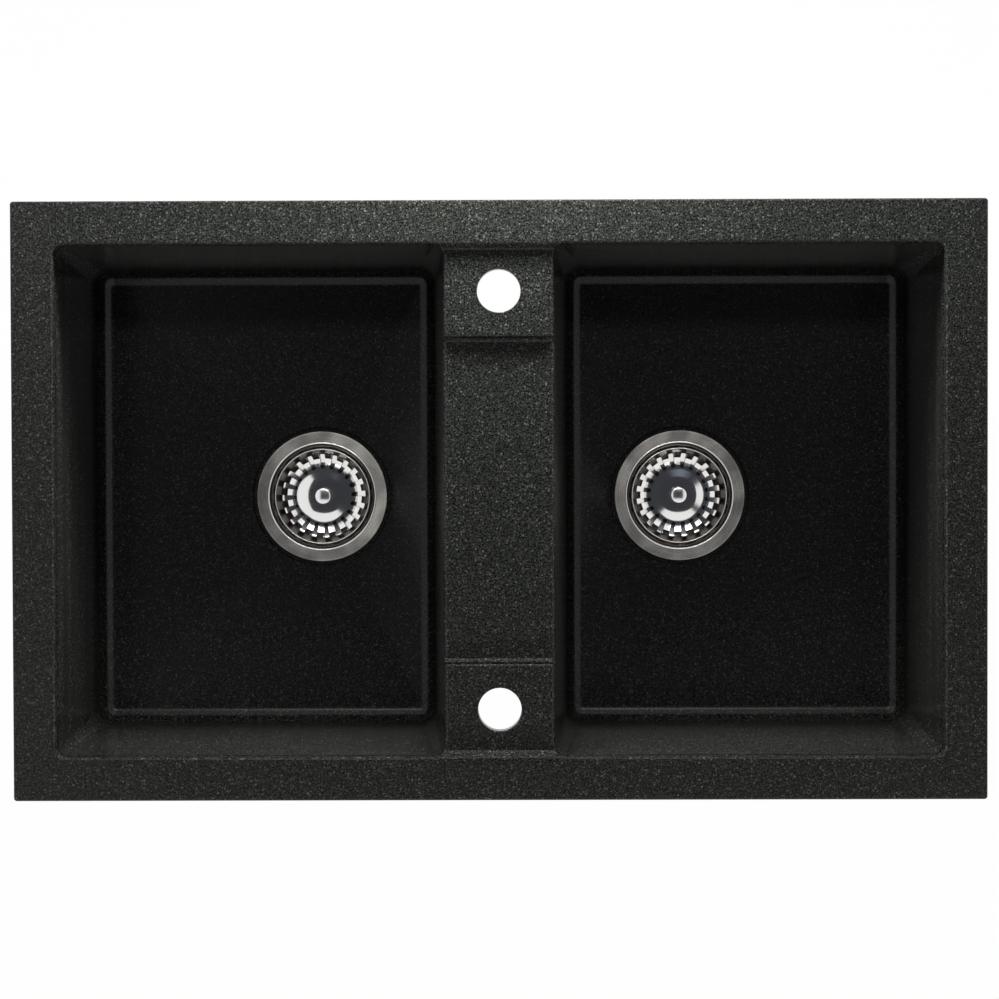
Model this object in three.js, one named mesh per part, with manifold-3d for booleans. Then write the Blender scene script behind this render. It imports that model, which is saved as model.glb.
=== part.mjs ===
// Double bowl inset kitchen sink, moulded in granite composite, with two basket
// strainer wastes and the swing clips that hold it in a worktop.
// Millimetres, +Z up, +X right, +Y to the back. The origin is the centre of the
// worktop cut-out, level with the worktop's top face, on which the rim lies.

import * as THREE from 'three';
import { mergeVertices } from 'three/addons/utils/BufferGeometryUtils.js';
import Module from 'manifold-3d';

const wasm = await Module();
wasm.setup();

// ---------------------------------------------------------------- sizes

const CLEARANCE = 0.3; // between pieces that seat on or run in each other
const OVERRUN = 1; // a cut runs this far past a face, and a joined piece into its neighbour
const LEAST_RADIUS = 0.5; // of a corner that shrinks along a fillet

// Rim: the flat frame that lies on the worktop.
const RIM_LENGTH = 780;
const RIM_WIDTH = 480;
const RIM_HEIGHT = 10;
const RIM_CORNER_RADIUS = 2.5;
const RIM_EDGE_RADIUS = 1.6;
const RIM_SIDE_LAND = 33.8; // flat from the outer edge to a bowl, left and right
const RIM_END_LAND = 34.6; // the same at the back and the front
const RIM_OVERLAP = 10; // how far the rim reaches over the edge of the cut-out

// Sealing strip in a groove under the overlap.
const SEAL_LIP = 1.5; // rim left standing on both sides of the groove
const SEAL_GROOVE_DEPTH = 2;

// Bowls.
const BOWL_DEPTH = 190; // from the rim's top face to the edge of the floor
const BOWL_LIP_RADIUS = 2;
const BOWL_MOUTH_CORNER_RADIUS = 8;
const BOWL_FOOT_CORNER_RADIUS = 14;
const BOWL_COVE_RADIUS = 13;
const WALL_THICKNESS = 9;
const SIDE_WALL_DRAFT = 2.5; // degrees
const END_WALL_DRAFT = 3.2;
const BRIDGE_WALL_DRAFT = 4.4;
const FLOOR_FALL = 2.5; // from the edge of the floor to the waste

// Bridge between the bowls: a low middle, and a tap ledge at each end.
const BRIDGE_WIDTH = 88.8;
const BRIDGE_EDGE_RADIUS = 2.6;
const BRIDGE_THICKNESS = 10;
const LEDGE_DROP = 7; // tap ledge below the rim
const MIDDLE_DROP = 14; // middle below the rim
const MIDDLE_LENGTH = 260;
const STEP_RUN = 6; // length over which a step rises
const TAP_HOLE_DIAMETER = 35;
const TAP_HOLE_SPACING = 336;
const WEB_THICKNESS = 8; // webs that tie the bowls together under the bridge
const WEB_DEPTH = 42;
const WEB_SPACING = 196;

// Seat of a waste in the bowl's floor.
const WASTE_SPACING = 311;
const SEAT_MARGIN = 2.75; // seat beyond the flange's edge
const DISH_MARGIN = 6.5; // level patch of floor beyond the seat
const WASTE_HOLE_MARGIN = 1; // hole beyond the cup's outside
const PAD_MARGIN = 8; // thicker patch under the floor beyond the body's flange
const PAD_THICKNESS = 9; // floor left between the seat and the pad's face
const FLANGE_SINK = 0.4; // flange below the level patch

// Strainer cup, pressed from stainless sheet.
const SHEET = 1;
const CUP_MOUTH_DIAMETER = 86;
const CUP_SHOULDER_WIDTH = 1.2; // from the mouth out to the foot of the lip
const CUP_LIP_WIDTH = 1.8;
const FLANGE_WIDTH = 10.75; // from the lip to the flange's edge
const FLANGE_FALL = 0.8;
const CUP_SHOULDER_DEPTH = 4.4;
const CUP_TAPER = 1.2; // less radius at the foot of the wall
const CUP_CORNER_RADIUS = 6.5;
const SUMP_DIAMETER = 47;
const SUMP_DEPTH = 10;
const SUMP_WALL_RUN = 2;
const SUMP_OPENINGS = 4;
const SUMP_OPENING_INNER_RADIUS = 8.5;
const SUMP_OPENING_MARGIN = 3.5; // from an opening to the foot of the sump's wall

// Basket, pressed from thinner sheet and pierced all round.
const BASKET_SHEET = 0.8;
const BASKET_SIDE_GAP = 1.3; // between the basket's rim and the cup's mouth
const BASKET_RIM_WIDTH = 1.7;
const BASKET_RIM_DROP = 3.4; // below the flange
const BASKET_DEPTH = 27.6; // from its rim to its base
const BASKET_WALL_RUN = 5.6; // less radius at the foot of the wall
const BASKET_CORNER_RADIUS = 4;
const BASKET_CROWN_TOP_RADIUS = 13.4;
const BASKET_CROWN_SAG = 0.1; // from the crown's middle to that radius
const BASKET_CROWN_HEIGHT = 7; // crown's middle above the base
const BASKET_CROWN_FALL = 0.95; // from the crown's middle to where the slots start
const BASKET_CROWN_FOOT_RUN = 2.8; // from there out to the base
const SLOT_COUNT = 20;
const SLOT_FLOOR_LENGTH = 9.4; // from the foot of the wall in to the slot's inner end
const SLOT_TOP_DROP = 12.2; // slot's outer end below the basket's rim
const SLOT_ANGLE = 6.2; // degrees between the radial sides of a slot
const LEFT_BASKET_TURN = 3; // degrees by which each basket happens to be turned
const RIGHT_BASKET_TURN = 9.4;

// Knob, rubber plug and clip of the basket.
const KNOB_DIAMETER = 13;
const KNOB_HEIGHT = 16;
const KNOB_HEAD_HEIGHT = 6;
const KNOB_DOME_HEIGHT = 1.3;
const KNOB_NECK_DIAMETER = 7;
const KNOB_SKIRT_DIAMETER = 10.2;
const KNOB_SKIRT_HEIGHT = 1.2;
const STEM_DIAMETER = 6;
const STEM_GRIP = 1; // stem inside the clip ring's roof
const PLUG_OVERLAP = 4.5; // plug beyond the edge of the sump
const PLUG_THICKNESS = 2.6;
const PLUG_EDGE = 1; // bevel round the disc
const PLUG_HUB_GAP = 2.4; // hub within the level part of the crown
const PLUG_HUB_FLARE = 2;
const PLUG_WASHER_DIAMETER = 18;
const PLUG_WASHER_THICKNESS = 1.5;
const CLIP_RING_WALL = 1.8;
const CLIP_RING_FOOT_GAP = 1.7; // ring above the floor of the sump

// Gaskets, body and screw of the waste.
const FLANGE_GASKET_THICKNESS = 1;
const BODY_GASKET_THICKNESS = 3;
const GASKET_MARGIN = 1; // gasket within the edge of what clamps it
const BODY_FLANGE_WIDTH = 11;
const BODY_FLANGE_THICKNESS = 4;
const BODY_WALL = 3;
const BODY_CHAMBER_TAPER = 8; // less radius where the chamber turns into the funnel
const BODY_CHAMBER_GAP = 1.7; // chamber's foot below the top of the hub
const BODY_RIBS = 8;
const BODY_RIB_EDGE = 3; // rib's height at its outer end
const BODY_RIB_RISE = 4; // rib's foot above the chamber's foot
const OUTLET_DIAMETER = 47.8; // over the thread of a one and a half inch outlet
const OUTLET_WALL = 4.4;
const OUTLET_LENGTH = 28;
const HUB_WALL = 2.2;
const HUB_FLOOR = 3.7;
const HUB_SPOKES = 3;
const HUB_SPOKE_WIDTH = 3.5;
const HUB_SPOKE_HEIGHT = 5.3;
const INSERT_DIAMETER = 10;
const INSERT_LENGTH = 12;
const WASTE_SCREW_DIAMETER = 6;
const WASTE_SCREW_HEAD_DIAMETER = 8;
const WASTE_SCREW_HEAD_BEVEL = 1;

// Swing clips under the rim.
const CLIP_SCREW_DIAMETER = 6;
const CLIP_SCREW_HEAD_DIAMETER = 11;
const CLIP_SCREW_HEAD_HEIGHT = 3.6;
const CLIP_SCREW_HEAD_BEVEL = 1.2;
const CLIP_SCREW_GRIP = 19.7; // length of the screw in its boss
const CLIP_BOSS_WALL = 3.1;
const CLIP_BOSS_DEPTH = 26; // below the worktop's top face
const CLAW_DROP = 18; // claw's underside below the boss
const CLAW_THICKNESS = 2;
const CLAW_WIDTH = 12.8;
const CLAW_REACH = 30;
const CLAW_BITE_HEIGHT = 5; // turned-up end above the middle of the arm
const CLAW_TEETH = 3;
const CLAW_TOOTH_DEPTH = 2;
const LONG_SIDE_CLIP_SPACING = 400;
const SHORT_SIDE_CLIP_SPACING = 220;

// Number of straight facets that stand in for curves.
const CORNER_FACETS = 4;
const FILLET_FACETS = 3;
const BEND_FACETS = 2; // at the foot of the cup and of the basket
const STEP_FACETS = 4;
const EDGE_DIVISIONS = 3;
const ROUND_FACETS = 28;
const SUMP_OPENING_FACETS = 4; // straight facets of the cup along an opening
const SUMP_SPOKE_FACETS = 2;
const HIDDEN_FACETS = 18;
const KNOB_FACETS = 14;
const SMALL_FACETS = 8;

// ---------------------------------------------------------------- places

const rimTop = RIM_HEIGHT;
const insideRim = RIM_HEIGHT / 2; // where what hangs from the rim is joined to it
const openingHalfLength = RIM_LENGTH / 2 - RIM_SIDE_LAND;
const openingHalfWidth = RIM_WIDTH / 2 - RIM_END_LAND;
const ledgeLevel = rimTop - LEDGE_DROP;
const middleLevel = rimTop - MIDDLE_DROP;
const bridgeUnderside = middleLevel - BRIDGE_THICKNESS;
const ledgeEnd = openingHalfWidth - 2 * STEP_RUN; // where the tap ledge's round edges stop
const floorEdge = rimTop - BOWL_DEPTH;
const coveTop = floorEdge + BOWL_COVE_RADIUS;
const dishLevel = floorEdge - FLOOR_FALL;
const flangeTop = dishLevel - FLANGE_SINK; // height of the waste's own origin
const flangeDepth = SHEET + FLANGE_FALL; // from the flange's edge to its underside at the lip
const seatDepth = flangeDepth + FLANGE_GASKET_THICKNESS + 2 * CLEARANCE;
const seatLevel = flangeTop - seatDepth;
const padFace = seatLevel - PAD_THICKNESS;

// Radii of a waste, and the diameters of its seat in the floor.
const mouthRadius = CUP_MOUTH_DIAMETER / 2;
const shoulderRadius = mouthRadius + CUP_SHOULDER_WIDTH;
const lipRadius = shoulderRadius + CUP_LIP_WIDTH;
const flangeRadius = lipRadius + FLANGE_WIDTH;
const seatDiameter = 2 * (flangeRadius + SEAT_MARGIN);
const dishDiameter = seatDiameter + 2 * DISH_MARGIN;
const wasteHoleDiameter = 2 * (mouthRadius + SHEET + WASTE_HOLE_MARGIN);
const bodyMouthRadius = wasteHoleDiameter / 2;
const bodyFlangeRadius = bodyMouthRadius + BODY_FLANGE_WIDTH;
const padDiameter = 2 * (bodyFlangeRadius + PAD_MARGIN);
const outletBoreRadius = OUTLET_DIAMETER / 2 - OUTLET_WALL;

// Heights inside a waste, measured down from its flange.
const basketBase = -BASKET_RIM_DROP - BASKET_DEPTH;
const crownTop = basketBase + BASKET_CROWN_HEIGHT;
const plugTop = basketBase - BASKET_SHEET - CLEARANCE;
const plugFace = plugTop - PLUG_THICKNESS;
const landLevel = plugFace - CLEARANCE;
const sumpLevel = landLevel - SUMP_DEPTH;
const washerTop = plugFace - CLEARANCE;
const clipRingTop = washerTop - PLUG_WASHER_THICKNESS - CLEARANCE;
const stemEnd = clipRingTop - STEM_GRIP;
const clipRingRoof = stemEnd - CLEARANCE; // underside of the ring's closed top
const bodyTop = -seatDepth - PAD_THICKNESS - BODY_GASKET_THICKNESS - 2 * CLEARANCE;
const chamberBend = landLevel + CUP_CORNER_RADIUS; // straight above, drawn in below
const hubTop = sumpLevel - SHEET - CLEARANCE;
const insertFoot = hubTop - INSERT_LENGTH;
const hubFoot = insertFoot - CLEARANCE - HUB_FLOOR;
const spokeTop = hubFoot + HUB_SPOKE_HEIGHT;
const outletTop = spokeTop + OVERRUN;
const outletEnd = outletTop - OUTLET_LENGTH;
const chamberFoot = hubTop - BODY_CHAMBER_GAP;
const stemRadius = STEM_DIAMETER / 2;
const stemHoleRadius = stemRadius + CLEARANCE;
const wasteScrewHoleRadius = WASTE_SCREW_DIAMETER / 2 + CLEARANCE;

// Swing clips.
const clipBoreRadius = CLIP_SCREW_DIAMETER / 2 + CLEARANCE;
const clipBossRadius = clipBoreRadius + CLIP_BOSS_WALL;
const clipStandOff = WALL_THICKNESS + CLAW_WIDTH / 2; // screw's axis from the bowl's inner face
const clipScrewEnd = CLIP_SCREW_GRIP - CLIP_BOSS_DEPTH;
const clawFoot = -CLIP_BOSS_DEPTH - CLAW_DROP;

// ---------------------------------------------------------------- finishes

const finish = (color, roughness, metalness) =>
  new THREE.MeshStandardMaterial({ color, roughness, metalness });

const granite = finish('#26282a', 0.62, 0);
const brushedSteel = finish('#8e8b87', 0.36, 1);
const polishedSteel = finish('#b9b9ba', 0.12, 1);
const zincSteel = finish('#9a9b9a', 0.42, 1);
const brass = finish('#b08d4e', 0.35, 1);
const blackRubber = finish('#1b1c1e', 0.8, 0);
const sealFoam = finish('#3a3b3d', 0.95, 0);
const blackPlastic = finish('#202123', 0.45, 0);
const palePlastic = finish('#c9c9c5', 0.5, 0);

// ---------------------------------------------------------------- solids

// Merges shared corners, drops collapsed facets and turns the faces outwards.
function closed(geometry) {
  for (const name of ['normal', 'uv']) geometry.deleteAttribute(name);
  const merged = mergeVertices(geometry, 1e-4);
  const position = merged.getAttribute('position');
  const [a, b, c] = [new THREE.Vector3(), new THREE.Vector3(), new THREE.Vector3()];
  const triangles = [];
  let volume = 0;
  for (let i = 0; i < merged.index.count; i += 3) {
    const corners = [0, 1, 2].map((k) => merged.index.getX(i + k));
    if (new Set(corners).size < 3) continue;
    triangles.push(corners);
    [a, b, c].forEach((v, k) => v.fromBufferAttribute(position, corners[k]));
    volume += a.dot(b.cross(c));
  }
  if (volume < 0) triangles.forEach((corners) => corners.reverse());
  merged.setIndex(triangles.flat());
  return merged;
}

function toManifold(geometry) {
  const body = closed(geometry);
  return new wasm.Manifold(new wasm.Mesh({
    numProp: 3,
    vertProperties: Float32Array.from(body.getAttribute('position').array),
    triVerts: Uint32Array.from(body.index.array),
  }));
}

function toGeometry(solid) {
  const { numProp, vertProperties, triVerts } = solid.getMesh();
  const count = vertProperties.length / numProp;
  const position = new Float32Array(count * 3);
  for (let i = 0; i < count; i++) {
    for (let k = 0; k < 3; k++) position[i * 3 + k] = vertProperties[i * numProp + k];
  }
  const geometry = new THREE.BufferGeometry();
  geometry.setAttribute('position', new THREE.BufferAttribute(position, 3));
  geometry.setIndex(Array.from(triVerts));
  return geometry;
}

const joined = (solids) => solids.reduce((whole, next) => whole.add(next));
const cut = (whole, tools) => tools.reduce((left, tool) => left.subtract(tool), whole);

// A closed solid through outlines that all have the same number of points. Each
// end is closed by a fan about its middle.
function loft(outlines) {
  const count = outlines[0].length;
  const points = outlines.flat();
  const index = [];
  for (let row = 0; row + 1 < outlines.length; row++) {
    for (let i = 0; i < count; i++) {
      const here = row * count + i;
      const next = row * count + ((i + 1) % count);
      index.push(here, next, next + count, here, next + count, here + count);
    }
  }
  for (const [outline, first] of [[outlines[0], 0], [outlines.at(-1), points.length - count]]) {
    const middle = points.length;
    points.push(outline.reduce((sum, p) => sum.add(p), new THREE.Vector3()).divideScalar(count));
    for (let i = 0; i < count; i++) {
      const [here, next] = [first + i, first + ((i + 1) % count)];
      index.push(...(first === 0 ? [middle, next, here] : [middle, here, next]));
    }
  }
  const geometry = new THREE.BufferGeometry();
  geometry.setFromPoints(points);
  geometry.setIndex(index);
  return toManifold(geometry);
}

// Outline of a rectangle with round corners at one height. Its straight edges
// are divided where they are to be lofted to a circle.
function roundedOutline({ left, right, front, back }, radius, z, divisions = EDGE_DIVISIONS) {
  const centres = [
    [right - radius, back - radius, 0],
    [left + radius, back - radius, 90],
    [left + radius, front + radius, 180],
    [right - radius, front + radius, 270],
  ];
  const points = [];
  centres.forEach(([x, y, start], corner) => {
    for (let i = 0; i <= CORNER_FACETS; i++) {
      const angle = THREE.MathUtils.degToRad(start + (90 * i) / CORNER_FACETS);
      points.push(new THREE.Vector3(x + radius * Math.cos(angle), y + radius * Math.sin(angle), z));
    }
    const from = points.at(-1);
    const [nextX, nextY, nextStart] = centres[(corner + 1) % centres.length];
    const nextAngle = THREE.MathUtils.degToRad(nextStart);
    const to = new THREE.Vector3(
      nextX + radius * Math.cos(nextAngle), nextY + radius * Math.sin(nextAngle), z);
    for (let i = 1; i < divisions; i++) {
      points.push(from.clone().lerp(to, i / divisions));
    }
  });
  return points;
}

const centredRectangle = (halfLength, halfWidth) => ({
  left: -halfLength, right: halfLength, front: -halfWidth, back: halfWidth,
});

const grown = ({ left, right, front, back }, by) => ({
  left: left - by, right: right + by, front: front - by, back: back + by,
});

// Upright prism of a flat shape between two heights.
function prism(shape, bottom, top) {
  const geometry = new THREE.ExtrudeGeometry(shape, {
    depth: top - bottom, bevelEnabled: false, curveSegments: CORNER_FACETS,
  });
  return toManifold(geometry.translate(0, 0, bottom));
}

// Solid of revolution about +Z. The profile gives [radius, height] and closes
// on itself or on the axis.
function turned(profile, facets) {
  const points = profile.map(([radius, height]) => new THREE.Vector2(radius, height));
  if (profile[0][0] > 0) points.push(points[0].clone());
  return closed(new THREE.LatheGeometry(points, facets).rotateX(Math.PI / 2));
}

const disc = (diameter, bottom, top, facets) => toManifold(turned(
  [[0, bottom], [diameter / 2, bottom], [diameter / 2, top], [0, top]], facets));

const ringProfile = (inner, outer, bottom, top) =>
  [[inner, bottom], [outer, bottom], [outer, top], [inner, top]];

// The underside of a sheet whose upper face has this profile, with mitred bends.
function undersideOf(face, thickness) {
  const normals = face.slice(1).map(([radius, height], i) => {
    const [fromRadius, fromHeight] = face[i];
    return new THREE.Vector2(height - fromHeight, fromRadius - radius).normalize();
  });
  return face.map(([radius, height], i) => {
    const before = normals[Math.max(i - 1, 0)];
    const after = normals[Math.min(i, normals.length - 1)];
    const mitre = before.clone().add(after).normalize();
    const reach = thickness / mitre.dot(after);
    return [radius + mitre.x * reach, height + mitre.y * reach];
  });
}

// Sheet of revolution with openings pressed through it. angles are the edges of
// its facets, rows are the points of its profile from the middle outwards, and
// isOpen(row, facet) says which cells of that grid are cut away.
function piercedSheet(face, thickness, angles, isOpen) {
  const [rows, facets] = [face.length, angles.length];
  const points = [face, undersideOf(face, thickness)].flatMap((profile) =>
    profile.flatMap(([radius, height]) => angles.map((angle) =>
      new THREE.Vector3(radius * Math.cos(angle), radius * Math.sin(angle), height))));
  const upper = (row, facet) => row * facets + (facet % facets);
  const lower = (row, facet) => (rows + row) * facets + (facet % facets);
  const index = [];
  const quad = (a, b, c, d) => index.push(a, b, c, a, c, d);
  const wall = ([rowA, facetA], [rowB, facetB]) => quad(
    upper(rowA, facetA), upper(rowB, facetB), lower(rowB, facetB), lower(rowA, facetA));
  const missing = (row, facet) =>
    row < 0 || row > rows - 2 || isOpen(row, (facet + facets) % facets);
  for (let row = 0; row + 1 < rows; row++) {
    for (let facet = 0; facet < facets; facet++) {
      if (isOpen(row, facet)) continue;
      const [next, over] = [row + 1, facet + 1];
      quad(upper(row, facet), upper(row, over), upper(next, over), upper(next, facet));
      quad(lower(row, facet), lower(next, facet), lower(next, over), lower(row, over));
      if (missing(row, over)) wall([next, over], [row, over]);
      if (missing(row, facet - 1)) wall([row, facet], [next, facet]);
      if (missing(row - 1, facet)) wall([row, over], [row, facet]);
      if (missing(next, facet)) wall([next, facet], [next, over]);
    }
  }
  const geometry = new THREE.BufferGeometry();
  geometry.setFromPoints(points);
  geometry.setIndex(index);
  return closed(geometry);
}

const evenAngles = (count) =>
  Array.from({ length: count }, (_, i) => (2 * Math.PI * i) / count);

// Points of a quarter round about a centre, both ends included.
function arc(centreRadius, centreHeight, radius, fromDegrees, toDegrees, facets) {
  return Array.from({ length: facets + 1 }, (_, i) => {
    const angle = THREE.MathUtils.degToRad(fromDegrees + ((toDegrees - fromDegrees) * i) / facets);
    return [centreRadius + radius * Math.cos(angle), centreHeight + radius * Math.sin(angle)];
  });
}

function piece(name, geometry, material) {
  const mesh = new THREE.Mesh(geometry, material);
  mesh.name = name;
  return mesh;
}

// ---------------------------------------------------------------- basin

const slope = (degrees) => Math.tan(THREE.MathUtils.degToRad(degrees));

// Inner face of a bowl's wall beside the bridge, as a distance from the middle.
const bridgeSideX = (z) => BRIDGE_WIDTH / 2 + (middleLevel - z) * slope(BRIDGE_WALL_DRAFT);

// Inner outline of the right bowl's drafted walls at one height.
function bowlRectangle(z) {
  const depth = rimTop - z;
  const halfWidth = openingHalfWidth - depth * slope(END_WALL_DRAFT);
  return {
    left: bridgeSideX(z),
    right: openingHalfLength - depth * slope(SIDE_WALL_DRAFT),
    front: -halfWidth,
    back: halfWidth,
  };
}

const bowlCornerRadius = (z) => THREE.MathUtils.mapLinear(
  z, rimTop, coveTop, BOWL_MOUTH_CORNER_RADIUS, BOWL_FOOT_CORNER_RADIUS);

// Outlines down a bowl's wall and round the cove at its foot, for the inner
// face (offset 0) or for the outer face (offset of one wall).
function coveOutlines(offset) {
  const radius = BOWL_COVE_RADIUS + offset;
  return Array.from({ length: FILLET_FACETS + 1 }, (_, i) => {
    const angle = (Math.PI / 2) * (i / FILLET_FACETS);
    const inset = radius * (1 - Math.cos(angle)) - offset;
    const rectangle = grown(bowlRectangle(coveTop), -inset);
    const corner = Math.max(BOWL_FOOT_CORNER_RADIUS - inset, LEAST_RADIUS);
    return roundedOutline(rectangle, corner, coveTop - radius * Math.sin(angle));
  });
}

// The hollow of the right bowl, from above the rim down to the level patch.
function bowlHollow() {
  const lip = Array.from({ length: FILLET_FACETS + 1 }, (_, i) => {
    const angle = (Math.PI / 2) * (1 - i / FILLET_FACETS);
    const flare = BOWL_LIP_RADIUS * (1 - Math.cos(angle));
    const z = rimTop - BOWL_LIP_RADIUS * (1 - Math.sin(angle));
    return roundedOutline(grown(bowlRectangle(z), flare), bowlCornerRadius(z) + flare, z);
  });
  const above = lip[0].map((p) => p.clone().setZ(rimTop + RIM_HEIGHT));
  const cove = coveOutlines(0);
  const drain = new THREE.Vector3(WASTE_SPACING / 2, 0, dishLevel);
  const dish = cove.at(-1).map((p) => {
    const direction = p.clone().setZ(dishLevel).sub(drain).setLength(dishDiameter / 2);
    return drain.clone().add(direction);
  });
  return loft([above, ...lip, ...cove, dish]);
}

function bowlShell() {
  const top = grown(bowlRectangle(0), WALL_THICKNESS);
  return loft([
    roundedOutline(top, bowlCornerRadius(0) + WALL_THICKNESS, insideRim),
    ...coveOutlines(WALL_THICKNESS),
  ]);
}

function rimSlab() {
  const edge = Array.from({ length: FILLET_FACETS + 1 }, (_, i) => {
    const angle = (Math.PI / 2) * (i / FILLET_FACETS);
    const inset = RIM_EDGE_RADIUS * (1 - Math.cos(angle));
    const outline = grown(centredRectangle(RIM_LENGTH / 2, RIM_WIDTH / 2), -inset);
    return roundedOutline(outline, Math.max(RIM_CORNER_RADIUS - inset, LEAST_RADIUS),
      rimTop - RIM_EDGE_RADIUS * (1 - Math.sin(angle)), 1);
  });
  const foot = edge[0].map((p) => p.clone().setZ(0));
  return loft([foot, ...edge]);
}

// Ring that follows the rim's edge, between two distances in from that edge.
function rimRing(outerInset, innerInset, bottom, top) {
  const bar = (inset, low, high) => {
    const outline = grown(centredRectangle(RIM_LENGTH / 2, RIM_WIDTH / 2), -inset);
    return loft([low, high].map((z) => roundedOutline(outline, RIM_CORNER_RADIUS, z, 1)));
  };
  return bar(outerInset, bottom, top)
    .subtract(bar(innerInset, bottom - OVERRUN, top + OVERRUN));
}

// Height along the bridge: from the low middle over the tap ledge to the rim.
function bridgeStations() {
  const rimStep = openingHalfWidth - BOWL_LIP_RADIUS;
  const step = (middle, low, high) => Array.from({ length: STEP_FACETS + 1 }, (_, i) => {
    const share = i / STEP_FACETS;
    const rise = (1 - Math.cos(Math.PI * share)) / 2;
    return { y: middle + STEP_RUN * (share - 0.5), level: low + (high - low) * rise };
  });
  const half = [
    ...step(MIDDLE_LENGTH / 2, middleLevel, ledgeLevel),
    { y: ledgeEnd, level: ledgeLevel },
    ...step(rimStep, ledgeLevel, rimTop),
    { y: openingHalfWidth + STEP_RUN, level: rimTop },
  ];
  const mirrored = half.map(({ y, level }) => ({ y: -y, level })).reverse();
  return [...mirrored, ...half];
}

// What is taken away above the bridge. Its lower face is the bridge's top, with
// round edges that run down into the bowls and die out where the rim starts.
function bridgeHollow() {
  const reach = BRIDGE_WIDTH / 2 + BOWL_MOUTH_CORNER_RADIUS + 2 * BOWL_LIP_RADIUS;
  const ceiling = rimTop + RIM_HEIGHT;
  const diedOut = 0.05;
  const sections = bridgeStations().map(({ y, level }) => {
    const radius = Math.abs(y) <= ledgeEnd ? BRIDGE_EDGE_RADIUS : diedOut;
    const side = bridgeSideX(level - radius);
    const edge = arc(side - radius, level - radius, radius, 0, 90, FILLET_FACETS);
    const right = [[reach, ceiling], [reach, level - radius], ...edge];
    const left = right.map(([x, z]) => [-x, z]).reverse();
    return [...right, ...left].map(([x, z]) => new THREE.Vector3(x, y, z));
  });
  return loft(sections);
}

// Beam under the bridge and the webs that hang from it, both ending inside the
// walls of the bowls.
function bridgeBody() {
  const wallMiddle = (z) => bridgeSideX(z) - WALL_THICKNESS / 2;
  const slice = (y, bottom, top) => [
    [-wallMiddle(bottom), bottom], [wallMiddle(bottom), bottom],
    [wallMiddle(top), top], [-wallMiddle(top), top],
  ].map(([x, z]) => new THREE.Vector3(x, y, z));
  const bar = (from, to, bottom, top) => loft([slice(from, bottom, top), slice(to, bottom, top)]);
  const halfLength = openingHalfWidth + WALL_THICKNESS;
  const beam = bar(-halfLength, halfLength, bridgeUnderside, insideRim);
  const webs = [-1, 0, 1].map((side) => {
    const y = (side * WEB_SPACING) / 2;
    return bar(y - WEB_THICKNESS / 2, y + WEB_THICKNESS / 2,
      bridgeUnderside - WEB_DEPTH, bridgeUnderside + OVERRUN);
  });
  return joined([beam, ...webs]);
}

// Where the swing clips stand, and the way that each one faces: one in the middle
// of each bowl's back and front wall, and two beside each end of the sink.
function clipPlaces() {
  const corners = [[1, 1], [1, -1], [-1, 1], [-1, -1]];
  return corners.flatMap(([side, end]) => [
    {
      x: (side * LONG_SIDE_CLIP_SPACING) / 2,
      y: end * (openingHalfWidth + clipStandOff),
      facing: 90 * end,
    },
    {
      x: side * (openingHalfLength + clipStandOff),
      y: (end * SHORT_SIDE_CLIP_SPACING) / 2,
      facing: side > 0 ? 0 : 180,
    },
  ]);
}

// Boss beside a bowl's wall for the screw of a swing clip: round outside, and
// straight back to the middle of the wall.
function clipBoss({ x, y, facing }) {
  const root = WALL_THICKNESS / 2 - clipStandOff;
  const shape = new THREE.Shape();
  shape.moveTo(root, -clipBossRadius);
  shape.lineTo(0, -clipBossRadius);
  shape.absarc(0, 0, clipBossRadius, -Math.PI / 2, Math.PI / 2, false);
  shape.lineTo(root, clipBossRadius);
  shape.closePath();
  return prism(shape, -CLIP_BOSS_DEPTH, insideRim)
    .rotate([0, 0, facing]).translate([x, y, 0]);
}

function sinkBasin() {
  const rightBowl = [bowlShell(), bowlHollow()];
  const [shells, hollows] = rightBowl.map((half) => half.add(half.mirror([1, 0, 0])));
  const wasteDiscs = (diameter, bottom, top) => joined([-1, 1].map((side) =>
    disc(diameter, bottom, top, ROUND_FACETS).translate([(side * WASTE_SPACING) / 2, 0, 0])));
  const body = joined([
    rimSlab(),
    shells,
    bridgeBody(),
    wasteDiscs(padDiameter, padFace, dishLevel - OVERRUN),
    ...clipPlaces().map(clipBoss),
  ]);
  const tapHoles = joined([-1, 1].map((end) =>
    disc(TAP_HOLE_DIAMETER, bridgeUnderside - OVERRUN, rimTop + OVERRUN, ROUND_FACETS)
      .translate([0, (end * TAP_HOLE_SPACING) / 2, 0])));
  const screwBores = joined(clipPlaces().map(({ x, y }) =>
    disc(2 * clipBoreRadius, -CLIP_BOSS_DEPTH - OVERRUN, clipScrewEnd + CLEARANCE, SMALL_FACETS)
      .translate([x, y, 0])));
  return piece('sink_basin', toGeometry(cut(body, [
    hollows,
    bridgeHollow(),
    tapHoles,
    wasteDiscs(seatDiameter, seatLevel, dishLevel + OVERRUN),
    wasteDiscs(wasteHoleDiameter, padFace - OVERRUN, dishLevel),
    rimRing(SEAL_LIP, RIM_OVERLAP - SEAL_LIP, -OVERRUN, SEAL_GROOVE_DEPTH),
    screwBores,
  ])), granite);
}

function rimSeal() {
  const strip = rimRing(SEAL_LIP + CLEARANCE, RIM_OVERLAP - SEAL_LIP - CLEARANCE,
    0, SEAL_GROOVE_DEPTH - CLEARANCE);
  return piece('rim_seal', toGeometry(strip), sealFoam);
}

// ---------------------------------------------------------------- swing clips

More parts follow.
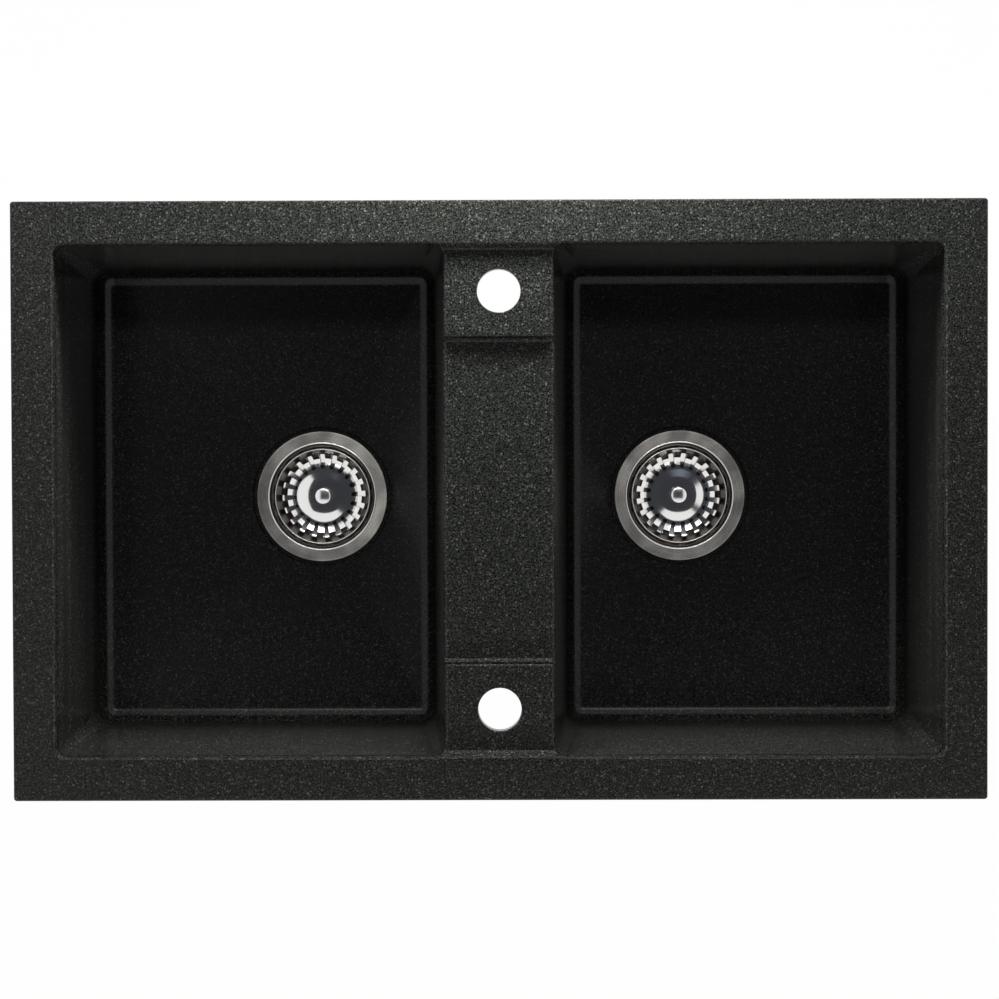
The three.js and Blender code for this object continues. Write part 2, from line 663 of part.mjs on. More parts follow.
function clipScrews() {
  const head = clawFoot - CLEARANCE;
  const [headRadius, shankRadius] = [CLIP_SCREW_HEAD_DIAMETER / 2, CLIP_SCREW_DIAMETER / 2];
  const shape = turned([
    [0, head - CLIP_SCREW_HEAD_HEIGHT],
    [headRadius - CLIP_SCREW_HEAD_BEVEL, head - CLIP_SCREW_HEAD_HEIGHT],
    [headRadius, head - CLIP_SCREW_HEAD_HEIGHT / 2],
    [headRadius, head],
    [shankRadius, head],
    [shankRadius, clipScrewEnd],
    [0, clipScrewEnd],
  ], SMALL_FACETS);
  return clipPlaces().map(({ x, y }, i) => {
    const mesh = piece(`clip_screw_${i + 1}`, shape, zincSteel);
    mesh.position.set(x, y, 0);
    return mesh;
  });
}

// Bent steel claw: a round heel on the screw, a flat arm, and a toothed end that
// is turned up to bite the worktop's underside. It points along +X.
function claw() {
  const side = CLAW_WIDTH / 2;
  const arm = new THREE.Shape();
  arm.moveTo(0, -side);
  arm.lineTo(CLAW_REACH, -side);
  arm.lineTo(CLAW_REACH, side);
  arm.lineTo(0, side);
  arm.absarc(0, 0, side, Math.PI / 2, (3 * Math.PI) / 2, false);
  const hole = new THREE.Path();
  hole.absarc(0, 0, clipBoreRadius, 0, 2 * Math.PI, true);
  arm.holes.push(hole);
  const pitch = CLAW_WIDTH / CLAW_TEETH;
  const gullet = CLAW_BITE_HEIGHT - CLAW_TOOTH_DEPTH;
  const teeth = new THREE.Shape();
  teeth.moveTo(-side, 0);
  for (let i = 0; i < CLAW_TEETH; i++) {
    const start = -side + i * pitch;
    teeth.lineTo(start, gullet);
    teeth.lineTo(start + pitch / 2, CLAW_BITE_HEIGHT);
  }
  teeth.lineTo(side, gullet);
  teeth.lineTo(side, 0);
  const bite = new THREE.ExtrudeGeometry(teeth, { depth: CLAW_THICKNESS, bevelEnabled: false })
    .applyMatrix4(new THREE.Matrix4().makeBasis(
      new THREE.Vector3(0, 1, 0), new THREE.Vector3(0, 0, 1), new THREE.Vector3(1, 0, 0)))
    .translate(CLAW_REACH - CLAW_THICKNESS, 0, CLAW_THICKNESS / 2);
  return toGeometry(prism(arm, 0, CLAW_THICKNESS).add(toManifold(bite)));
}

// Each claw is folded along the bowl's wall, a quarter turn short of where it bites.
function swingClaws() {
  const shape = claw();
  return clipPlaces().map(({ x, y, facing }, i) => {
    const mesh = piece(`clip_claw_${i + 1}`, shape, zincSteel);
    mesh.position.set(x, y, clawFoot);
    mesh.rotation.z = THREE.MathUtils.degToRad(facing - 90 * Math.sign(x));
    return mesh;
  });
}

// ---------------------------------------------------------------- waste

// Cup and flange in one pressing, stepped down to a sump that is open between
// its spokes.
function strainerCup() {
  const wallFoot = mouthRadius - CUP_TAPER;
  const sumpFoot = SUMP_DIAMETER / 2 - SUMP_WALL_RUN;
  const face = [
    [wasteScrewHoleRadius, sumpLevel],
    [SUMP_OPENING_INNER_RADIUS, sumpLevel],
    [sumpFoot - SUMP_OPENING_MARGIN, sumpLevel],
    [sumpFoot, sumpLevel],
    [SUMP_DIAMETER / 2, landLevel],
    ...arc(wallFoot - CUP_CORNER_RADIUS, chamberBend, CUP_CORNER_RADIUS, -90, 0, BEND_FACETS),
    [mouthRadius, -CUP_SHOULDER_DEPTH],
    [shoulderRadius, -flangeDepth],
    [lipRadius, -FLANGE_FALL],
    [flangeRadius, 0],
  ];
  const openBand = 1; // row of the profile from an opening's inner to its outer edge
  const sector = SUMP_OPENING_FACETS + SUMP_SPOKE_FACETS;
  const isOpen = (row, facet) => row === openBand && facet % sector >= SUMP_SPOKE_FACETS;
  return piercedSheet(face, SHEET, evenAngles(SUMP_OPENINGS * sector), isOpen);
}

// Pierced basket: a flat rim, a tapered wall, a round corner and a raised crown.
// The slots run from the crown's edge across the corner and up into the wall.
function basket() {
  const rimLevel = -BASKET_RIM_DROP;
  const rimOutside = mouthRadius - BASKET_SIDE_GAP;
  const rimInside = rimOutside - BASKET_RIM_WIDTH;
  const wallFoot = rimInside - BASKET_WALL_RUN;
  const cornerTop = basketBase + BASKET_CORNER_RADIUS;
  const slotInside = wallFoot - SLOT_FLOOR_LENGTH;
  const slotTop = rimLevel - SLOT_TOP_DROP;
  const slotOutside = THREE.MathUtils.mapLinear(slotTop, cornerTop, rimLevel, wallFoot, rimInside);
  const floorSlots = [
    [slotInside, crownTop - BASKET_CROWN_FALL],
    [slotInside + BASKET_CROWN_FOOT_RUN, basketBase],
    ...arc(wallFoot - BASKET_CORNER_RADIUS, cornerTop, BASKET_CORNER_RADIUS, -90, 0, BEND_FACETS),
  ];
  const crown = [
    [stemHoleRadius, crownTop],
    [BASKET_CROWN_TOP_RADIUS, crownTop - BASKET_CROWN_SAG],
  ];
  const face = [
    ...crown,
    ...floorSlots,
    [slotOutside, slotTop],
    [rimInside, rimLevel],
    [rimOutside, rimLevel],
  ];
  const slotStart = crown.length; // rows of the profile at the ends of a slot
  const slotEnd = slotStart + floorSlots.length;
  const pitch = (2 * Math.PI) / SLOT_COUNT;
  const halfSlot = THREE.MathUtils.degToRad(SLOT_ANGLE) / 2;
  const angles = Array.from({ length: SLOT_COUNT }, (_, i) => i * pitch)
    .flatMap((middle) => [middle - halfSlot, middle + halfSlot]);
  const isOpen = (row, facet) => row >= slotStart && row < slotEnd && facet % 2 === 0;
  return piercedSheet(face, BASKET_SHEET, angles, isOpen);
}

// Turned knob with a domed head. Its stem passes through the basket, the plug
// and the washer and ends in the clip ring's roof.
function knob() {
  const foot = crownTop + CLEARANCE;
  const top = crownTop + KNOB_HEIGHT;
  const [neck, skirt] = [KNOB_NECK_DIAMETER / 2, KNOB_SKIRT_DIAMETER / 2];
  const dome = Array.from({ length: FILLET_FACETS + 1 }, (_, i) => {
    const angle = (Math.PI / 2) * (i / FILLET_FACETS);
    return [
      (KNOB_DIAMETER / 2) * Math.cos(angle),
      top - KNOB_DOME_HEIGHT * (1 - Math.sin(angle)),
    ];
  });
  return turned([
    [0, stemEnd],
    [stemRadius, stemEnd],
    [stemRadius, foot],
    [skirt, foot],
    [skirt, foot + KNOB_SKIRT_HEIGHT],
    [neck, foot + 2 * KNOB_SKIRT_HEIGHT],
    [neck, top - KNOB_HEAD_HEIGHT],
    ...dome,
  ], KNOB_FACETS);
}

// Rubber plug under the basket: a disc that closes the sump, and a hub that
// fills the hollow of the crown.
function plug() {
  const edge = SUMP_DIAMETER / 2 + PLUG_OVERLAP;
  const hub = BASKET_CROWN_TOP_RADIUS - PLUG_HUB_GAP;
  const hubLevel = crownTop - BASKET_CROWN_SAG - BASKET_SHEET - CLEARANCE;
  return turned([
    [stemHoleRadius, plugFace],
    [edge - PLUG_EDGE, plugFace],
    [edge, plugFace + PLUG_THICKNESS / 2],
    [edge - PLUG_EDGE, plugTop],
    [hub + PLUG_HUB_FLARE, plugTop],
    [hub, hubLevel],
    [stemHoleRadius, hubLevel],
  ], HIDDEN_FACETS);
}

const plugWasher = () => turned(ringProfile(stemHoleRadius, PLUG_WASHER_DIAMETER / 2,
  washerTop - PLUG_WASHER_THICKNESS, washerTop), SMALL_FACETS);

// Plastic ring that snaps over the head of the waste's screw. Its top closes
// round the foot of the knob's stem.
function clipRing() {
  const bore = WASTE_SCREW_HEAD_DIAMETER / 2 + CLEARANCE;
  const outside = bore + CLIP_RING_WALL;
  const foot = sumpLevel + CLIP_RING_FOOT_GAP;
  return turned([
    [stemHoleRadius, clipRingTop],
    [outside, clipRingTop],
    [outside, foot],
    [bore, foot],
    [bore, clipRingRoof],
    [stemHoleRadius, clipRingRoof],
  ], SMALL_FACETS);
}

// Thin gasket whose upper face follows the fall of the flange.
function flangeGasket() {
  const [inner, outer] = [lipRadius + GASKET_MARGIN, flangeRadius - GASKET_MARGIN];
  const underFlange = (radius) => -SHEET - CLEARANCE - THREE.MathUtils.mapLinear(
    radius, flangeRadius, lipRadius, 0, FLANGE_FALL);
  const foot = CLEARANCE - seatDepth;
  return turned([
    [inner, foot], [outer, foot], [outer, underFlange(outer)], [inner, underFlange(inner)],
  ], HIDDEN_FACETS);
}

const bodyGasket = () => turned(ringProfile(
  bodyMouthRadius + GASKET_MARGIN, bodyFlangeRadius - GASKET_MARGIN,
  bodyTop + CLEARANCE, bodyTop + CLEARANCE + BODY_GASKET_THICKNESS), HIDDEN_FACETS);

// Moulded body: a flange, a chamber round the cup, a funnel, a threaded outlet,
// ribs under the flange, and a hub on spokes for the screw's insert.
function wasteBody() {
  const chamber = bodyMouthRadius - BODY_CHAMBER_TAPER;
  const flangeFoot = bodyTop - BODY_FLANGE_THICKNESS;
  const inside = [
    [bodyMouthRadius, chamberBend], [chamber, chamberFoot], [outletBoreRadius, outletTop],
  ];
  const bendDrop = BODY_WALL / 3; // keeps the wall as thick where it bends
  const outside = inside.slice(0, 2).map(([radius, height]) =>
    [radius + BODY_WALL, height - bendDrop]);
  const shell = toManifold(turned([
    [bodyMouthRadius, bodyTop],
    ...inside,
    [outletBoreRadius, outletEnd],
    [OUTLET_DIAMETER / 2, outletEnd],
    [OUTLET_DIAMETER / 2, outletTop - bendDrop],
    ...outside.reverse(),
    [bodyMouthRadius + BODY_WALL, flangeFoot],
    [bodyFlangeRadius, flangeFoot],
    [bodyFlangeRadius, bodyTop],
  ], HIDDEN_FACETS));
  const ribInside = chamber + BODY_WALL - OVERRUN;
  const ribOutside = bodyFlangeRadius - GASKET_MARGIN;
  const gusset = new THREE.Shape([
    new THREE.Vector2(ribInside, flangeFoot + OVERRUN),
    new THREE.Vector2(ribInside, chamberFoot + BODY_RIB_RISE),
    new THREE.Vector2(ribOutside, flangeFoot - BODY_RIB_EDGE),
    new THREE.Vector2(ribOutside, flangeFoot + OVERRUN),
  ]);
  const upright = new THREE.Matrix4().makeBasis(
    new THREE.Vector3(1, 0, 0), new THREE.Vector3(0, 0, 1), new THREE.Vector3(0, -1, 0));
  const ribs = Array.from({ length: BODY_RIBS }, (_, i) => {
    const plate = new THREE.ExtrudeGeometry(gusset, { depth: BODY_WALL, bevelEnabled: false });
    return toManifold(plate.translate(0, 0, -BODY_WALL / 2).applyMatrix4(upright))
      .rotate([0, 0, (360 * (i + 0.5)) / BODY_RIBS]);
  });
  const core = toManifold(turned([
    [0, bodyTop + OVERRUN], [bodyMouthRadius, bodyTop + OVERRUN], ...inside, [0, outletTop],
  ], HIDDEN_FACETS));
  const insertHoleDiameter = INSERT_DIAMETER + 2 * CLEARANCE;
  const hub = disc(insertHoleDiameter + 2 * HUB_WALL, hubFoot, hubTop, SMALL_FACETS);
  const [spokeEnd, spokeSide] = [outletBoreRadius + OVERRUN, HUB_SPOKE_WIDTH / 2];
  const spoke = new THREE.Shape([
    new THREE.Vector2(0, -spokeSide), new THREE.Vector2(spokeEnd, -spokeSide),
    new THREE.Vector2(spokeEnd, spokeSide), new THREE.Vector2(0, spokeSide),
  ]);
  const spokes = Array.from({ length: HUB_SPOKES }, (_, i) =>
    prism(spoke, hubFoot, spokeTop).rotate([0, 0, (360 * i) / HUB_SPOKES]));
  const insertHole = disc(insertHoleDiameter, insertFoot - CLEARANCE, hubTop + OVERRUN,
    SMALL_FACETS);
  const casing = joined([shell, ...ribs]).subtract(core);
  return toGeometry(joined([casing, hub, ...spokes]).subtract(insertHole));
}

const threadInsert = () => turned(ringProfile(wasteScrewHoleRadius, INSERT_DIAMETER / 2,
  insertFoot, hubTop), SMALL_FACETS);

function wasteScrew() {
  const seat = sumpLevel + CLEARANCE;
  const top = clipRingRoof - 2 * CLEARANCE;
  const head = WASTE_SCREW_HEAD_DIAMETER / 2;
  const shank = WASTE_SCREW_DIAMETER / 2;
  return turned([
    [0, insertFoot],
    [shank, insertFoot],
    [shank, seat],
    [head, seat],
    [head, top - WASTE_SCREW_HEAD_BEVEL],
    [head - WASTE_SCREW_HEAD_BEVEL, top],
    [0, top],
  ], SMALL_FACETS);
}

function waste(side, x, basketTurn) {
  const fixed = [
    piece(`${side}_strainer_cup`, strainerCup(), brushedSteel),
    piece(`${side}_flange_gasket`, flangeGasket(), blackRubber),
    piece(`${side}_body_gasket`, bodyGasket(), blackRubber),
    piece(`${side}_waste_body`, wasteBody(), blackPlastic),
    piece(`${side}_thread_insert`, threadInsert(), brass),
    piece(`${side}_waste_screw`, wasteScrew(), zincSteel),
  ];
  const lifted = new THREE.Group();
  lifted.rotation.z = THREE.MathUtils.degToRad(basketTurn);
  lifted.add(
    piece(`${side}_basket`, basket(), polishedSteel),
    piece(`${side}_basket_knob`, knob(), polishedSteel),
    piece(`${side}_basket_plug`, plug(), blackRubber),
    piece(`${side}_plug_washer`, plugWasher(), zincSteel),
    piece(`${side}_clip_ring`, clipRing(), palePlastic),
  );
  const assembly = new THREE.Group();
  assembly.position.set(x, 0, flangeTop);
  assembly.add(...fixed, lifted);
  return assembly;
}

// ---------------------------------------------------------------- assembly

const sink = new THREE.Group();
sink.add(
  sinkBasin(),
  rimSeal(),
  ...clipScrews(),
  ...swingClaws(),
  waste('left', -WASTE_SPACING / 2, LEFT_BASKET_TURN),
  waste('right', WASTE_SPACING / 2, RIGHT_BASKET_TURN),
);

export default sink;
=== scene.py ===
"""Double bowl kitchen sink in granite composite, with two basket strainer wastes.

Every mesh is modelled in millimetres, in the sink's own frame: +X right, +Y to the
back, +Z up, origin in the middle of the worktop cut-out, level with the worktop.
"""

import logging
import math
from collections.abc import Callable, Iterable, Sequence
from dataclasses import dataclass, field
from enum import Enum
from itertools import pairwise
from typing import NamedTuple

import bmesh
import bpy
from bmesh.types import BMEdge, BMesh, BMVert
from bpy.types import Material, Node, NodeSocket, NodeTree
from mathutils import Matrix, Vector


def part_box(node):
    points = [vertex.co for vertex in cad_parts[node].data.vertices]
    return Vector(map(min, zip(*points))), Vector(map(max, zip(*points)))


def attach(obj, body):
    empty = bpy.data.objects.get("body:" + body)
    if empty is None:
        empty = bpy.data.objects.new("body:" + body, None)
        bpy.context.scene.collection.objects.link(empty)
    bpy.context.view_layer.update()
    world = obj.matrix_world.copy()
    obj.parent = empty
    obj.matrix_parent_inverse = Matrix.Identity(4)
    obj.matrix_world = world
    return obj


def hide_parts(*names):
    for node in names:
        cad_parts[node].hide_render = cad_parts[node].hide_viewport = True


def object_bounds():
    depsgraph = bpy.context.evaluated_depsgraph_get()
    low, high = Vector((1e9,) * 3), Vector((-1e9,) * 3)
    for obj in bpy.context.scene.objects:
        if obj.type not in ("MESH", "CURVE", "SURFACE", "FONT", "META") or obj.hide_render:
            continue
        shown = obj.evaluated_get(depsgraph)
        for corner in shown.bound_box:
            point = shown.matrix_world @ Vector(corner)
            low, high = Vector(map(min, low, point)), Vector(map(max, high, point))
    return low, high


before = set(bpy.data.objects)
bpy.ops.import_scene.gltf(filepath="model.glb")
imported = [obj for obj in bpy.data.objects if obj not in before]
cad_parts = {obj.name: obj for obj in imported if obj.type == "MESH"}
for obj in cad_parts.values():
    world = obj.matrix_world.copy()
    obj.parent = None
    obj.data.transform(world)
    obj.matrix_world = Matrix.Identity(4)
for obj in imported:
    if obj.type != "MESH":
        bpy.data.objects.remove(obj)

cad_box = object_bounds()

log = logging.getLogger("sink")

MM = 0.001  # metres
CLEARANCE = 0.3  # between pieces that seat on or run in each other
OVERRUN = 1.0  # a cutter runs this far past the face that it opens
DOUBLED = 1e-5  # points that are closer than this are one
SHARP = math.radians(32)  # edges that turn by more are shaded as edges, and eased
ORIGIN = Vector((0, 0, 0))

# Segments of a full turn, from a thin screw to the broad seat of a flange.
SMALL_ROUND, MIDDLE_ROUND, FAIR_ROUND, ROUND, FINE_ROUND = 32, 48, 64, 96, 128
# Segments of a quarter turn, or of one round of a profile.
TURNED_SEGMENTS, FILLET_SEGMENTS, COVE_SEGMENTS, CORNER_SEGMENTS = 4, 6, 8, 10

SHARE, FIRST, SECOND, MIXED = 0, 6, 7, 2  # sockets of a Mix node between colours
SOFT_EDGE = 0.3  # a finish fades into its neighbour over this many millimetres
PLASTIC_IOR = 1.5
NOISE_LOW, NOISE_HIGH = 0.3, 0.7  # a noise pattern seldom leaves this range

Point = tuple[float, float, float]
Colour = tuple[float, float, float, float]


class Slot(Enum):
    """Finishes of the sink, as the record names them."""

    GRANITE = "granite"
    BRUSHED_STEEL = "brushed_steel"
    POLISHED_STEEL = "polished_steel"
    ZINC_STEEL = "zinc_steel"
    BRASS = "brass"
    RUBBER = "rubber"
    SEAL_FOAM = "seal_foam"
    BLACK_PLASTIC = "black_plastic"
    PALE_PLASTIC = "pale_plastic"


class Cut(Enum):
    """What a tool does to the piece that it meets."""

    ADD = "UNION"
    TAKE_AWAY = "DIFFERENCE"


# ---------------------------------------------------------------- materials


def linear(colour: str) -> Colour:
    """Turn an sRGB hex colour into the linear values that a shader takes."""
    channels = [int(colour[i:i + 2], 16) / 255 for i in (1, 3, 5)]
    return (*(c / 12.92 if c <= 0.04045 else ((c + 0.055) / 1.055) ** 2.4 for c in channels), 1.0)


WHITE = linear("#ffffff")


def add_node(tree: NodeTree, kind: str, inputs: dict | None = None, **settings: object) -> Node:
    """Add one shader node with its settings and links.

    Args:
        tree: The node tree that it goes into.
        kind: Its type name after ShaderNode, such as Mix.
        inputs: For each socket, by name or number, a value, another node's output, or
            another node, whose first output it takes.
        settings: Attributes of the node.

    Returns:
        The new node.
    """
    node = tree.nodes.new(f"ShaderNode{kind}")
    for name, value in settings.items():
        setattr(node, name, value)
    for name, value in (inputs or {}).items():
        source = value.outputs[0] if isinstance(value, Node) else value
        if isinstance(source, NodeSocket):
            tree.links.new(source, node.inputs[name])
        else:
            node.inputs[name].default_value = source
    return node


def empty_material(name: str) -> tuple[Material, NodeTree]:
    """Start a material with nothing in its tree.

    Args:
        name: The material's name.

    Returns:
        The material and its tree.
    """
    material = bpy.data.materials.new(name)
    material.use_nodes = True
    material.node_tree.nodes.clear()
    return material, material.node_tree


@dataclass(frozen=True)
class Clouds:
    """A cloudy pattern of two colours; size is the width of a cloud in millimetres."""

    first: str
    second: str
    size: float
    detail: float
    low: float = NOISE_LOW
    high: float = NOISE_HIGH

    def lay(self, tree: NodeTree, coords: NodeSocket) -> tuple[Node, Node, NodeSocket]:
        """Lay the pattern.

        Args:
            tree: The material's tree.
            coords: Coordinates in metres.

        Returns:
            The plain pattern, the same stretched to go from 0 to 1, and its colour.
        """
        plain = add_node(tree, "TexNoise", {"Vector": coords, "Scale": 1 / (self.size * MM),
                                            "Detail": self.detail})
        share = add_node(tree, "MapRange", {
            "Value": plain, "From Min": self.low, "From Max": self.high})
        colour = add_node(tree, "Mix", {SHARE: share, FIRST: linear(self.first),
                                        SECOND: linear(self.second)}, data_type="RGBA")
        return plain, share, colour.outputs[MIXED]


@dataclass(frozen=True)
class Finish:
    """A finish of the sink. Each kind below says what its shader takes."""

    name: str

    def sockets(self, tree: NodeTree, coords: NodeSocket) -> dict[str, object]:
        """Give the shader's values and links.

        Args:
            tree: The material's tree.
            coords: Coordinates in metres.

        Returns:
            A value, or another node's output, for each socket by name.
        """
        raise NotImplementedError

    def build(self) -> Material:
        """Make the material.

        Returns:
            The material, with a pattern on the object's own coordinates.
        """
        material, tree = empty_material(self.name)
        coords = add_node(tree, "TexCoord").outputs["Object"]
        shader = add_node(tree, "BsdfPrincipled", self.sockets(tree, coords))
        add_node(tree, "OutputMaterial", {"Surface": shader})
        return material


@dataclass(frozen=True)
class Grains:
    """One size of quartz grains: share of places without one, and strength of the palest."""

    size: float
    absent: float
    strength: float


@dataclass(frozen=True)
class GraniteComposite(Finish):
    """Quartz-filled acrylic, cast in a mould.

    It is almost black and matt, and dusted with fine grey quartz grains that come to
    the surface. The real grains are 0.1 to 0.8 mm; they are drawn a little coarser,
    so that they show.
    """

    name: str = "granite_composite"
    stone: Clouds = Clouds("#0e110e", "#3e403c", 1.4, 2.0, 0.4, 0.66)
    grain: str = "#a2a29e"
    grains: tuple[Grains, ...] = (Grains(1.9, 0.82, 0.44), Grains(1.3, 0.55, 0.3))
    grain_core: float = 0.3
    grain_edge: float = 0.5
    tooth: float = 0.05
    tooth_strength: float = 0.3
    roughness: float = 0.21
    sheen: float = 0.2

    def sockets(self, tree: NodeTree, coords: NodeSocket) -> dict[str, object]:
        """Give a near-black stone with light specks and a fine tooth.

        Args:
            tree: The material's tree.
            coords: Coordinates in metres.

        Returns:
            The shader's values and links.
        """
        *_, colour = self.stone.lay(tree, coords)
        layers = []
        for grains in self.grains:
            cells = add_node(tree, "TexVoronoi", {
                "Vector": coords, "Scale": 1 / (grains.size * MM), "Randomness": 1.0})
            chance = add_node(tree, "SeparateColor", {0: cells.outputs["Color"]})
            chosen = add_node(tree, "MapRange", {
                "Value": chance, "From Min": grains.absent, "To Max": grains.strength})
            inside = add_node(tree, "MapRange", {
                "Value": cells, "From Min": self.grain_core, "From Max": self.grain_edge,
                "To Min": 1, "To Max": 0})
            speck = add_node(tree, "Math", {0: chosen, 1: inside}, operation="MULTIPLY")
            colour = add_node(tree, "Mix", {SHARE: speck, FIRST: colour, SECOND: linear(self.grain)},
                              data_type="RGBA").outputs[MIXED]
            layers.append(cells)
        normal = add_node(tree, "Bump", {
            "Height": layers[0], "Distance": self.tooth * MM, "Strength": self.tooth_strength})
        return {"Base Color": colour, "Roughness": self.roughness, "IOR": PLASTIC_IOR,
                "Specular IOR Level": self.sheen, "Normal": normal}


@dataclass(frozen=True)
class RoundFinish(Finish):
    """A finish that is laid out about the middle of one waste."""

    middle: Vector

    def spoke(self, tree: NodeTree, coords: NodeSocket) -> tuple[Node, NodeSocket]:
        """Measure from the waste's axis.

        Args:
            tree: The material's tree.
            coords: Coordinates in metres.

        Returns:
            The level line from the axis to each point, and its length.
        """
        about = add_node(tree, "Mapping", {
            "Vector": coords, "Location": (-self.middle.x * MM, -self.middle.y * MM, 0.0)})
        line = add_node(tree, "VectorMath", {0: about, 1: (1.0, 1.0, 0.0)}, operation="MULTIPLY")
        length = add_node(tree, "VectorMath", {0: line}, operation="LENGTH")
        return line, length.outputs["Value"]

    def zone(self, tree: NodeTree, radius: NodeSocket, start: float, end: float,
             fade: float = SOFT_EDGE) -> Node:
        """Give 1 between two radii and 0 elsewhere.

        Args:
            tree: The material's tree.
            radius: Distance from the waste's axis in metres.
            start: Inner radius in millimetres.
            end: Outer radius in millimetres.
            fade: Width of the inner edge in millimetres.

        Returns:
            The zone.
        """
        rise, fall = (add_node(tree, "MapRange", {
            "Value": radius, "From Min": at * MM, "From Max": (at + width) * MM,
            "To Min": low, "To Max": 1 - low})
            for at, width, low in ((start, fade, 0), (end, SOFT_EDGE, 1)))
        return add_node(tree, "Math", {0: rise, 1: fall}, operation="MULTIPLY")


@dataclass(frozen=True)
class TurnedBrushedSteel(RoundFinish):
    """Stainless sheet, pressed, with its flange brushed while it turns.

    The brush leaves rings about the middle of the waste, which spread the highlights.
    The cup inside keeps the bright face of the rolled sheet, and its throat, from the basket's bead up
    to the flange's lip, is painted a dark colour: painted shade.
    """

    brushed: Clouds = Clouds("#8f8c88", "#bcb8b2", 20.0, 1.0, 0.36, 0.64)
    inner_colour: str = "#e2e0dd"
    # Painted shade: the dark colour of the throat below the flange's lip.
    painted_throat_shade: str = "#6a655f"
    ring_spacing: float = 0.35
    ring_detail: float = 3.0
    ring_depth: float = 0.0015
    ring_strength: float = 0.5
    smooth: float = 0.19
    dull: float = 0.29
    inner_roughness: float = 0.09
    throat_roughness: float = 0.24
    throat_from: float = 42.8
    lip_from: float = 45.6
    brushed_from: float = 46.9
    brush_fade: float = 0.6

    def sockets(self, tree: NodeTree, coords: NodeSocket) -> dict[str, object]:
        """Give a warm grey steel with rings, a bright cup inside, and painted shade in the throat.

        Args:
            tree: The material's tree.
            coords: Coordinates in metres.

        Returns:
            The shader's values and links.
        """
        _, radius = self.spoke(tree, coords)
        rings = add_node(tree, "TexNoise", {
            "W": radius, "Scale": 1 / (self.ring_spacing * MM), "Detail": self.ring_detail},
            noise_dimensions="1D")
        *_, brushed = self.brushed.lay(tree, coords)
        throat = self.zone(tree, radius, self.throat_from, self.lip_from)
        # Painted shade: the throat is darkened, and the rest of the cup stays bright.
        inside = add_node(tree, "Mix", {SHARE: throat, FIRST: linear(self.inner_colour),
                                        SECOND: linear(self.painted_throat_shade)}, data_type="RGBA")
        outside = add_node(tree, "MapRange", {
            "Value": radius, "From Min": self.brushed_from * MM,
            "From Max": (self.brushed_from + self.brush_fade) * MM})
        colour = add_node(tree, "Mix", {SHARE: outside, FIRST: inside.outputs[MIXED],
                                        SECOND: brushed}, data_type="RGBA")
        inner_rough = add_node(tree, "MapRange", {
            "Value": throat, "To Min": self.inner_roughness, "To Max": self.throat_roughness})
        rough = add_node(tree, "MapRange", {
            "Value": rings, "From Min": NOISE_LOW, "From Max": NOISE_HIGH,
            "To Min": self.smooth, "To Max": self.dull})
        normal = add_node(tree, "Bump", {
            "Height": rings, "Distance": self.ring_depth * MM, "Strength": self.ring_strength})
        return {"Base Color": colour.outputs[MIXED], "Metallic": 1.0, "Normal": normal,
                "Roughness": add_node(tree, "Mix", {"Factor": outside, "A": inner_rough, "B": rough})}


@dataclass(frozen=True)
class BasketSteelWithPaintedShade(RoundFinish):
    """Stainless sheet, pressed and buffed, with the wall inside left as the press made it.

    The wall between the slots is rougher, and is painted a dark brown mottle there:
    painted shade and painted dark reflection. The crown, the base and the bead mirror the room.
    """

    colour: str = "#e4e3e2"
    # Painted shade: dark brown mottle on the inner wall, in place of shade and dark reflection there.
    painted_wall_shade: Clouds = Clouds("#3c342d", "#6c6259", 2.6, 3.0, 0.35, 0.65)
    roughness: float = 0.07
    shaded_wall_roughness: float = 0.2
    shaded_wall_from: float = 32.6
    shaded_wall_to: float = 40.2
    shaded_wall_fade: float = 0.8
    faces_level: float = -0.008
    faces_inwards: float = -0.02

    def sockets(self, tree: NodeTree, coords: NodeSocket) -> dict[str, object]:
        """Give a bright steel with painted shade, a dark brown mottle, on its inner wall.

        Args:
            tree: The material's tree.
            coords: Coordinates in metres.

        Returns:
            The shader's values and links.
        """
        line, radius = self.spoke(tree, coords)
        normal = add_node(tree, "TexCoord").outputs["Normal"]
        outward = add_node(tree, "VectorMath", {0: line, 1: normal}, operation="DOT_PRODUCT")
        inner = add_node(tree, "MapRange", {
            "Value": outward.outputs["Value"], "From Min": self.faces_level,
            "From Max": self.faces_inwards})
        band = self.zone(tree, radius, self.shaded_wall_from, self.shaded_wall_to, self.shaded_wall_fade)
        share = add_node(tree, "Math", {0: band, 1: inner}, operation="MULTIPLY")
        *_, painted_wall_shade = self.painted_wall_shade.lay(tree, coords)
        # Painted shade: the inner wall takes the dark mottle instead of the bright steel.
        colour = add_node(tree, "Mix", {SHARE: share, FIRST: linear(self.colour), SECOND: painted_wall_shade},
                          data_type="RGBA")
        rough = add_node(tree, "MapRange", {
            "Value": share, "To Min": self.roughness, "To Max": self.shaded_wall_roughness})
        return {"Base Color": colour.outputs[MIXED], "Metallic": 1.0, "Roughness": rough}


@dataclass(frozen=True)
class PatchyFinish(Finish):
    """A finish whose colour and gloss drift a little from patch to patch."""

    patches: Clouds
    smooth: float
    dull: float

    def drift(self, tree: NodeTree, coords: NodeSocket) -> tuple[Node, dict[str, object]]:
        """Lay the patches.

        Args:
            tree: The material's tree.
            coords: Coordinates in metres.

        Returns:
            The plain pattern, and the shader's colour and roughness.
        """
        plain, share, colour = self.patches.lay(tree, coords)
        rough = add_node(tree, "MapRange", {
            "Value": share, "To Min": self.smooth, "To Max": self.dull})
        return plain, {"Base Color": colour, "Roughness": rough}


